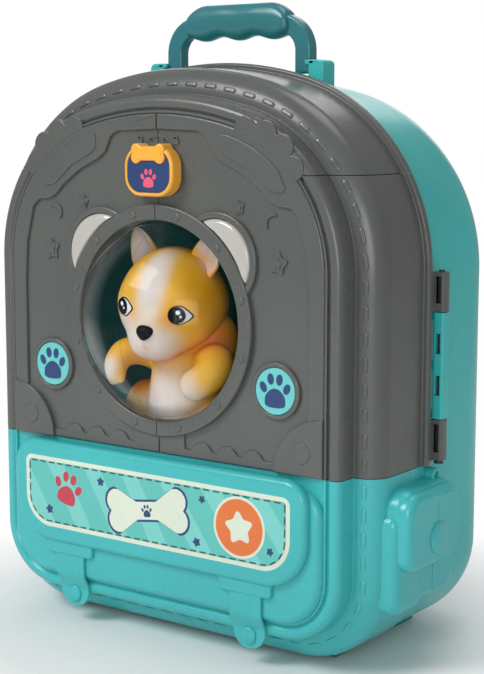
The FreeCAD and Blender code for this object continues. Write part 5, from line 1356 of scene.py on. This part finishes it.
def bail(half, low, high, elbow, step):
    """Two elbows of the bail in turn, with the straight bar between them."""
    corners = [(half, low), (half, high), (-half, high), (-half, low)]
    return rounded(corners, [0, elbow, elbow, 0], step)[1:-1]


def arm_outline():
    """Bail outline: quarter-circle elbows of one bar width, and feet with rounded corners."""
    outer = bail(ARM_OUT, 206.0, 229.0, 19.5, 5.0)
    inner = bail(-ARM_IN, 206.0, 219.0, 9.5, 6.0)
    foot = rounded([(ARM_IN, 208.0), (ARM_IN, 197.3), (ARM_OUT, 197.3), (ARM_OUT, 208.0)],
                   [0, 1.6, 1.6, 0], 20.0)[1:-1]
    return np.concatenate([foot, outer, (foot * np.array([-1.0, 1.0]))[::-1], inner])


def squared(value):
    """Sine or cosine swollen towards its ends, which squares an oval."""
    return np.sign(value) * np.abs(value) ** 0.78


def grip_shell(half=34.2, thick=13.5, roll=2.6):
    """Oval sections from end to end: z between a domed top and a cosine wave, drawn in at the ends."""
    turn = np.linspace(0, math.pi / 2, 9)
    end = np.stack([half - roll + roll * np.sin(turn), roll * (1 - np.cos(turn))], -1)
    middle = np.stack([np.linspace(-half + roll, half - roll, 140), np.zeros(140)], -1)
    line = np.concatenate([(end * np.array([-1.0, 1.0]))[::-1], middle[1:-1], end])
    x, inset = line.T[:, :, None]
    flat, top_r = 20.7, 16.0
    top = GRIP_TOP - top_r + np.sqrt(top_r ** 2 - np.maximum(np.abs(x) - flat, 0.0) ** 2)
    under = GRIP_UNDER - WAVE * np.cos(2 * math.pi * x / WAVE_LENGTH)
    bearing = around(64)[None, :]
    depth = HANDLE_D - (thick / 2 - inset) * squared(np.cos(bearing))
    rise = (top + under) / 2 + ((top - under) / 2 - inset) * squared(np.sin(bearing))
    return grid_shell(spot(x, depth, rise), wrap_cols=True, cap_rows=True)


arms = slab(arm_outline(), HANDLE_D - ARM_HALF, HANDLE_D + ARM_HALF, 1.5, 5, back_bevel=1.5)
handle = all_in(HANDLE_TEAL, [arms, grip_shell()])
add_piece("carry_handle_bail", handle, "carry_handle", ["handle"])
block = rounded_box(48.5, 58.0, 182.5, 204.4, [0, 0, 3.0, 0.6], 12.0)
cap = rounded_box(46.3, 52.0, 202.0, 204.4, [0.6, 0, 0, 0.6], 20.0)
bracket = [slab(block, BRACKET_FRONT, 79.6, 0.9, 4, back_bevel=2.6),
           slab(cap, BRACKET_FRONT, 68.8, 0.5, 3, back_bevel=0.3)]
add_pair("bracket_block", all_in(TEAL_SHELL, bracket), "bracket", "case")

# %% [markdown]
# The puppy is soft vinyl with an airbrushed coat. Its head is one surface: a radius for every
# direction, a sphere plus smooth hills for muzzle, brows and cheeks and dents for the eyes. Two
# cupped ears stand on it as shells of their own.

# %% Puppy head surface
HEAD = np.array([-5.2, 21.0, 78.8])
HEAD_R, HEAD_TURN, HEAD_ROLL = 27.6, math.radians(9.0), math.radians(5.0)
EYE = np.array([14.4, -21.0, -3.2])
HILLS = [(9.4, (0, -15.0, -16.0), 28.0), (0.8, (0, -6, 26), 34.0)]
for side in (-1.0, 1.0):
    HILLS += [(1.5, (13 * side, -20, 8), 15.0), (1.9, (22 * side, -9, -15), 20.0),
              (1.9, (8 * side, -16, -20), 13.0), (-0.6, EYE * (side, 1, 1), 11.0),
              (1.8, (20.0 * side, -18, -2.0), 18.0), (2.2, (26.0 * side, 2, 0), 36.0)]
HILLS.append((-1.5, (0, -26, -3), 9.0))


def turned_head(turn, roll):
    """Frame of the face: turned about the upright, then tipped about the line of sight."""
    about_up = [[math.cos(turn), -math.sin(turn), 0], [math.sin(turn), math.cos(turn), 0], [0, 0, 1]]
    about_face = [[math.cos(roll), 0, math.sin(roll)], [0, 1, 0], [-math.sin(roll), 0, math.cos(roll)]]
    return np.array(about_up) @ np.array(about_face)


FACE = turned_head(HEAD_TURN, HEAD_ROLL)


def hill(way, toward, width):
    """Smooth hill on the sphere: a bell curve of the angle to its middle, in degrees."""
    toward = unit(np.asarray(toward, float))
    return np.exp(-(np.degrees(np.arccos(np.clip(way @ toward, -1, 1))) / width) ** 2)


def head_radius(way):
    """Distance from the middle of the head to its skin: the sphere, its hills, the cleft and the mouth."""
    radius = HEAD_R
    for height, toward, width in HILLS:
        radius = radius + height * hill(way, toward, width)
    cleft = np.exp(-(way[..., 0] / 0.022) ** 2) * hill(way, (0, -16, -22), 13.0)
    mouth = np.exp(-((way[..., 2] + 0.86) / 0.018) ** 2) * hill(way, (0, -14, -24), 9.0)
    return radius - 0.8 * cleft - 0.7 * mouth


def on_head(way, lift=0.0):
    """Skin point in each direction, raised by lift, in the shared frame."""
    local = HEAD + (way * (head_radius(way) + lift)[..., None]) @ FACE.T
    return spot(*np.moveaxis(local, -1, 0))


def head_shell(rows=150, cols=220):
    """The radius function sampled over rising and turning angles; rows run from neck to crown."""
    rise = np.linspace(-math.pi / 2, math.pi / 2, rows)[:, None]
    turn = around(cols)[None, :]
    level = np.cos(rise)
    way = np.stack(np.broadcast_arrays(level * np.cos(turn), level * np.sin(turn), np.sin(rise)), -1)
    return grid_shell(on_head(way), wrap_cols=True)


def ear_shell(side):
    """Cupped ear: ovals along a leaning axis, with the front of each oval pushed in."""
    share = np.linspace(0, 1, 30)[:, None]
    turn = around(44)[None, :]
    root, tip = np.array([-4.5 + side * 16.5, 92.0]), np.array([-4.5 + side * 26.5, 116.0])
    along = unit(tip - root)
    taper = np.sqrt(np.maximum(1 - share ** 2.6, 1e-4))
    wide = 11.0 * taper * (1 - 0.28 * share) * (0.6 + 0.4 * np.minimum(share / 0.4, 1))
    thick = 4.6 * taper * (1 - 0.35 * share)
    cup = 1.75 * np.maximum(np.sin(turn), 0.0) ** 3 * np.clip(share / 0.35, 0, 1)
    across = wide * np.cos(turn)
    centre = root + (tip - root) * share[..., None]
    points = spot(centre[..., 0] + across * along[1], 20.5 - thick * (np.sin(turn) - cup),
                  centre[..., 1] - across * along[0])
    return grid_shell(points, wrap_cols=True, cap_rows=True)


print("head surface:", len(HILLS), "hills and dents on a sphere of %.1f mm" % HEAD_R)

# %% [markdown]
# The coat is worked out from the corner positions, like an airbrush: gold all over, then one soft
# spray after the other. A spray has a centre, a size along each axis, a colour and a strength.
# A few sprays are painted light and painted shade rather than the coat's own colour.

# %% Puppy coat
GOLD, DEEP_GOLD, CREAM_FUR, BLUSH = (234, 176, 58), (230, 152, 34), (228, 214, 210), (222, 150, 128)
COAT_MIDDLE = np.array([-4.0, 21.0, 78.5])


def sprayed(colour, places, centre, size, srgb, strength=1.0, power=2.0):
    """Airbrush: the share of new colour is strength times e to the minus (distance by size) to a power."""
    far = np.linalg.norm((places - np.asarray(centre)) / np.asarray(size), axis=1)
    amount = (strength * np.exp(-far ** power))[:, None]
    return colour * (1 - amount) + np.array(linear(*srgb)[:3]) * amount


def coated(sprays):
    """Gold all over, then every spray in turn; each begins with the places it is measured on."""
    colour = np.tile(np.array(linear(*GOLD)[:3]), (len(sprays[0][0]), 1))
    for spray in sprays:
        colour = sprayed(colour, *spray)
    return colour


def head_coat(places):
    """Sprays in the face's own frame, and on the ears in the shared one; two are painted light and shade.
    """
    face = (places - HEAD) @ FACE + COAT_MIDDLE
    sprays = [(face, (-4, 44, 84), (40, 24, 40), DEEP_GOLD, 0.7),
              # painted light: lighter yellow on the right of the head brightens the side that the lamps
              # leave in shade
              (face, (24, 14, 84), (16, 22, 24), (255, 176, 44), 0.85)]
    for side in (-1, 1):
        sprays += [(face, (-4 + side * 11, -4, 72), (5, 8, 4), (238, 140, 30), 0.7),
                   (places, (-4 + side * 23.0, 20.6, 106), (7.6, 3.8, 12), CREAM_FUR, 1.0, 6.0),
                   (places, (-4 + side * 20.5, 20.6, 98), (6, 4, 6), BLUSH, 0.5)]
    sprays += [(face, (-4, -6, 92), (8.6, 23, 28), CREAM_FUR, 0.97, 4.0),
               (face, (-4, -4, 57), (19, 17, 13), CREAM_FUR, 1.0, 4.0),
               (face, (-22, 0, 64), (12, 12, 13), CREAM_FUR, 0.85, 3.0),
               # painted shade: deeper orange along the underside of the head, where it meets the body
               (face, (-4, 24, 50), (30, 26, 6), (236, 120, 24), 0.75),
               (face, (-3, -9, 56.2), (2.4, 5, 1.6), (226, 150, 96), 0.6),
               (face, (-4, -10, 62), (1.2, 6, 6), BLUSH, 0.45)]
    return coated(sprays)


def body_coat(places):
    """Blush below, painted shade in two folds, then cream on the belly and both paws."""
    sprays = [((-4, 30, 6), (46, 30, 12), BLUSH, 0.75),
              # painted shade: deep orange on the left side between arm and leg, and between the head and
              # the right arm
              ((-30, 22, 30), (12, 14, 8), (232, 122, 28), 0.85),
              ((18, 20, 60), (22, 18, 8), (236, 116, 22), 0.9),
              ((-4, 12, 50), (9, 9, 7), (230, 160, 110), 0.8),
              ((-2, 7, 26), (19, 16, 18), CREAM_FUR, 0.95, 4.0),
              ((20.5, 1, 36.0), (9.5, 9, 9.5), CREAM_FUR, 1.0, 4.0),
              ((-31, -1, 41), (6.5, 9, 8), CREAM_FUR, 0.95, 4.0),
              ((-22, 8, 46), (5, 8, 6), (226, 150, 100), 0.6)]
    return coated([(places,) + spray for spray in sprays])


print("coat at the middle of the head:", head_coat(HEAD[None]).round(2)[0])

# %% [markdown]
# The coat is kept on the mesh as a colour attribute, and the finish reads it from there. Only the
# mottling, the gloss and the combed fur lines come from noise.

# %% Painted vinyl and the head
SOFT_EDGE = 75.0


def painted(piece, colour_of):
    """Colour attribute from a function of the corners in (x, depth, rise)."""
    mesh = piece.data
    places = corners_of(mesh) / MM - np.array([SEAM_X, PANEL_Y, SILL])
    colours = np.ones((len(places), 4))
    colours[:, :3] = colour_of(places)
    mesh.attributes.new("paint", "FLOAT_COLOR", "POINT").data.foreach_set("color", colours.ravel())


def vinyl():
    """Painted vinyl: the coat attribute, faint mottling, soft gloss and fine combed fur lines."""
    paint = new_paint("painted vinyl")
    coat_node = paint.node("Attribute", {})
    coat_node.attribute_name = "paint"
    coat = coat_node.outputs["Color"]
    dark = paint.node("HueSaturation", {"Value": 0.9, "Saturation": 1.08, "Color": coat}).outputs["Color"]
    drift = paint.ranged(paint.noise(60.0, 4.0), 0.0, 1.0, 0.35, 0.7)
    gloss = paint.ranged(paint.noise(90.0), 0.5, 0.62, 0.3, 0.7)
    paint.feed(paint.shader, {"Base Color": paint.mixed(drift, coat, dark), "Roughness": gloss})
    combed = paint.mapped({"Scale": (900.0, 900.0, 90.0)})
    paint.bumped(paint.noise(1.0, 2.0, combed), 0.16, 0.0004)
    return paint.owner


VINYL = vinyl()
head_parts = all_in(VINYL, [head_shell(), ear_shell(-1.0), ear_shell(1.0)])
head = add_piece("puppy_head_skin", head_parts, "case", ["puppy_head"], SOFT_EDGE, False)
painted(head, head_coat)

# %% [markdown]
# Eyes and nose are set into the head as separate inserts. Each is a lens that lies on the head's own
# radius function, so it follows every swelling of the face and never floats or sinks.

# %% Puppy eyes and nose
BLACK = plastic("black gloss", (6, 6, 7), 0.25, 0.04)
BLACK.node_tree.nodes["Principled BSDF"].inputs["Specular IOR Level"].default_value = 0.08
EYE_WHITE = plastic("eye white", (236, 236, 232), 0.25, 0.02)
SPARK = plastic("white sparkle", (255, 255, 255), 0.2, 0.02)
PATCH_R = 28.0
cos, sin = np.cos(around(60)), np.sin(around(60))
corner = np.maximum(cos, 0.0)
almond = np.stack([5.0 * cos + 1.8 * corner ** 4, 4.5 * sin * (1 - 0.3 * corner ** 3)], -1)
nose_line = np.stack([4.3 * cos * (1 + 0.28 * sin), 3.0 * sin], -1)


def rightwards(middle):
    """Level direction across a direction: the upright crossed with it."""
    return unit(np.cross([0.0, 0.0, 1.0], middle))


def skin_patch(middle, outline, lift, sag, deep=0.9, rings=9):
    """Lens on the head: an outline in (right, up) about a direction, swelling to lift, rim at sag."""
    middle = unit(np.asarray(middle, float))
    right = rightwards(middle)
    share = np.linspace(0.03, 1, rings)[:, None, None]
    flat = outline[None] * share
    swell = sag + (lift - sag) * np.sqrt(np.maximum(1 - share[..., 0] ** 2, 0))
    height = np.broadcast_to(swell, flat.shape[:2])
    flat = np.concatenate([flat, flat[-1:]])
    height = np.concatenate([height, height[-1:] - deep])
    way = middle + (flat[..., :1] * right + flat[..., 1:] * np.cross(middle, right)) / PATCH_R
    return grid_shell(on_head(unit(way), height), wrap_cols=True, cap_rows=True)


def eye_parts(side):
    """Lid line, white, iris and two highlights, each a lens a little higher than the last."""
    middle = EYE * (side, 1, 1)
    look = unit(middle)
    parts = [(skin_patch(middle, almond * 1.13, 0.45, 0.02), BLACK),
             (skin_patch(middle, almond, 0.95, 0.12), EYE_WHITE)]
    rounds = [(-0.7, 0.1, 4.1, 1.3, BLACK), (-0.5, 1.6, 1.1, 1.6, SPARK), (0.9, -0.4, 0.6, 1.55, SPARK)]
    for across, up, radius, lift, material in rounds:
        moved = look + (rightwards(look) * across + np.array([0.0, 0.0, up])) / PATCH_R
        lens = skin_patch(moved, circle(0.0, 0.0, radius, 60), lift, lift - 0.25)
        parts.append((lens, material))
    return parts


eyes = eye_parts(-1.0) + eye_parts(1.0)
nose = [(skin_patch((0, -22.0, -10.6), nose_line, 2.6, -0.2), BLACK)]
add_piece("puppy_eye_pair", eyes, "case", ["puppy_eyes"], even=False)
add_piece("puppy_nose_tip", nose, "case", ["puppy_nose"], even=False)

# %% [markdown]
# The body begins as limbs and a trunk. Each is a tube with its own radius along a path, short and
# fat for the trunk, bent for the limbs, and three small ones make the toes of a paw.

# %% Limbs and toes
END_ROWS, TOE_STEP = 8, 3.3
LIMBS = [([(-2, 32, 14), (-2, 32, 24)], [25.0, 24.0]),
         ([(-2, 28, 26), (-3, 26, 44)], [22.0, 17.0]),
         ([(-4, 30, 42), (-4, 27, 56)], [16.5, 14.0]),
         ([(8, 34, 38), (10, 33, 58)], [18.0, 15.0]),
         ([(-14, 26, 46), (-24, 16, 51), (-30, 8, 50), (-31, 2.5, 44), (-28.5, 0, 39.5)],
          [8.5, 8.0, 7.4, 6.6, 5.6]),
         ([(8, 26, 44), (24, 19, 48), (30, 12, 46.5), (28, 7, 41.5), (22.5, 3.5, 38.0)],
          [9.5, 9.8, 9.6, 9.2, 8.4]),
         ([(-14, 31, 19), (-26, 24, 21), (-32, 16, 13)], [14.0, 13.0, 7.5]),
         ([(8, 32, 15), (18, 25, 15), (24, 17, 11)], [13.0, 12.0, 7.5])]


def tube(path, radii, rows=40, cols=28):
    """Round tube through the stations, smooth in between, closed with rounded ends."""
    path, radii = np.asarray(path, float), np.asarray(radii, float)
    run = run_along(path)
    at = np.linspace(0, run[-1], rows)
    line = relaxed(sampled(path, run, at), 10)
    ahead = unit(np.gradient(line, axis=0))
    swell = np.linspace(0, math.pi / 2, END_ROWS)
    cos, sin = np.cos(swell), np.sin(swell)
    first = line[0] - ahead[0] * (radii[0] * cos)[:, None]
    last = line[-1] + ahead[-1] * (radii[-1] * sin)[:, None]
    size = np.interp(at, run, radii)
    size = np.concatenate([radii[0] * sin[:-1] + 0.01, size, radii[-1] * cos[1:] + 0.01])[:, None, None]
    line = np.concatenate([first[:-1], line, last[1:]])
    extra = END_ROWS - 1
    ahead = np.concatenate([np.repeat(ahead[:1], extra, 0), ahead, np.repeat(ahead[-1:], extra, 0)])
    aside = unit(np.cross(ahead, [0.21, 0.34, 0.92]))
    third = np.cross(ahead, aside)
    turn = around(cols)[None, :, None]
    grid = line[:, None] + size * (np.cos(turn) * aside[:, None] + np.sin(turn) * third[:, None])
    return grid_shell(spot(*np.moveaxis(grid, -1, 0)), wrap_cols=True, cap_rows=True)


def paw_toes(x, depth, rise, aim, size):
    """Three short toes side by side, as small tubes that point the way of aim."""
    aim = unit(np.asarray(aim, float))
    aside = unit(np.cross(aim, [0.0, 1.0, 0.0]))
    roots = [np.array([x, depth, rise]) + aside * k * TOE_STEP for k in (-1, 0, 1)]
    return [tube([root - aim * 3, root + aim * 2.2], [size, size * 0.9], 8, 16) for root in roots]


print("limbs and trunk:", len(LIMBS), "tubes")

# %% [markdown]
# A voxel remesh closes one skin round all the tubes and a little smoothing softens the folds, which
# is how a sculpted master would look. What lies below the seat is pressed flat.

# %% Puppy body
VOXEL, SMOOTH_ROUNDS, SEAT = 0.9, 14, -0.6


def melted(shells):
    """One closed skin round overlapping shells: voxel remesh, then smoothing; corners and faces back."""
    points, faces = gathered(shells)
    mesh = bpy.data.meshes.new("limbs")
    mesh.from_pydata(points.tolist(), [], faces)
    faced_out(mesh, False)
    limbs = bpy.data.objects.new("limbs", mesh)
    bpy.context.scene.collection.objects.link(limbs)
    remesh = limbs.modifiers.new("melt", "REMESH")
    remesh.mode = "VOXEL"
    remesh.voxel_size = VOXEL
    soften = limbs.modifiers.new("soften", "SMOOTH")
    soften.factor = 0.5
    soften.iterations = SMOOTH_ROUNDS
    skin = bpy.data.meshes.new_from_object(limbs.evaluated_get(bpy.context.evaluated_depsgraph_get()))
    points = corners_of(skin)
    faces = [list(polygon.vertices) for polygon in skin.polygons]
    bpy.data.objects.remove(limbs)
    bpy.data.meshes.remove(mesh)
    bpy.data.meshes.remove(skin)
    return points, faces


shells = [tube(path, radii) for path, radii in LIMBS]
shells += paw_toes(-27.5, -0.5, 38.0, (0.3, -0.3, -1.0), 2.3)
shells += paw_toes(20.5, 2.0, 36.0, (-0.25, -0.3, -1.0), 2.5)
skin_points, skin_faces = melted(shells)
skin_points[:, 2] = np.maximum(skin_points[:, 2], SILL + SEAT)
torso = [((skin_points, skin_faces), VINYL)]
body = add_piece("puppy_body_skin", torso, "case", ["puppy_body"], SOFT_EDGE, False)
painted(body, body_coat)

# %% [markdown]
# Some imported solids are small plain hardware that is shaped well enough already: pins, screws, feet,
# the deck and the latch inside. They stay as they are and only get their finish.

# %% Finishes on carried-over solids
# the hinge pins are dark grey: partly their own colour, partly painted shade for the inside of the hinge
# slots
PIN_AND_SLOT_SHADE = plastic("dark pin and painted slot shade", (44, 46, 45), 0.35)
carried_over = {"cabin_floor": DECK, "feet": FOOT, "case_screws": STEEL, "hinge_pins": PIN_AND_SLOT_SHADE,
                "handle_pins": STEEL, "latch_screw": STEEL, "latch_bar": GREY_DEEP, "knob_shaft": ORANGE}
for node, material in carried_over.items():
    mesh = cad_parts[node].data
    mesh.materials.clear()
    mesh.materials.append(material)
print("finished solids:", ", ".join(carried_over))
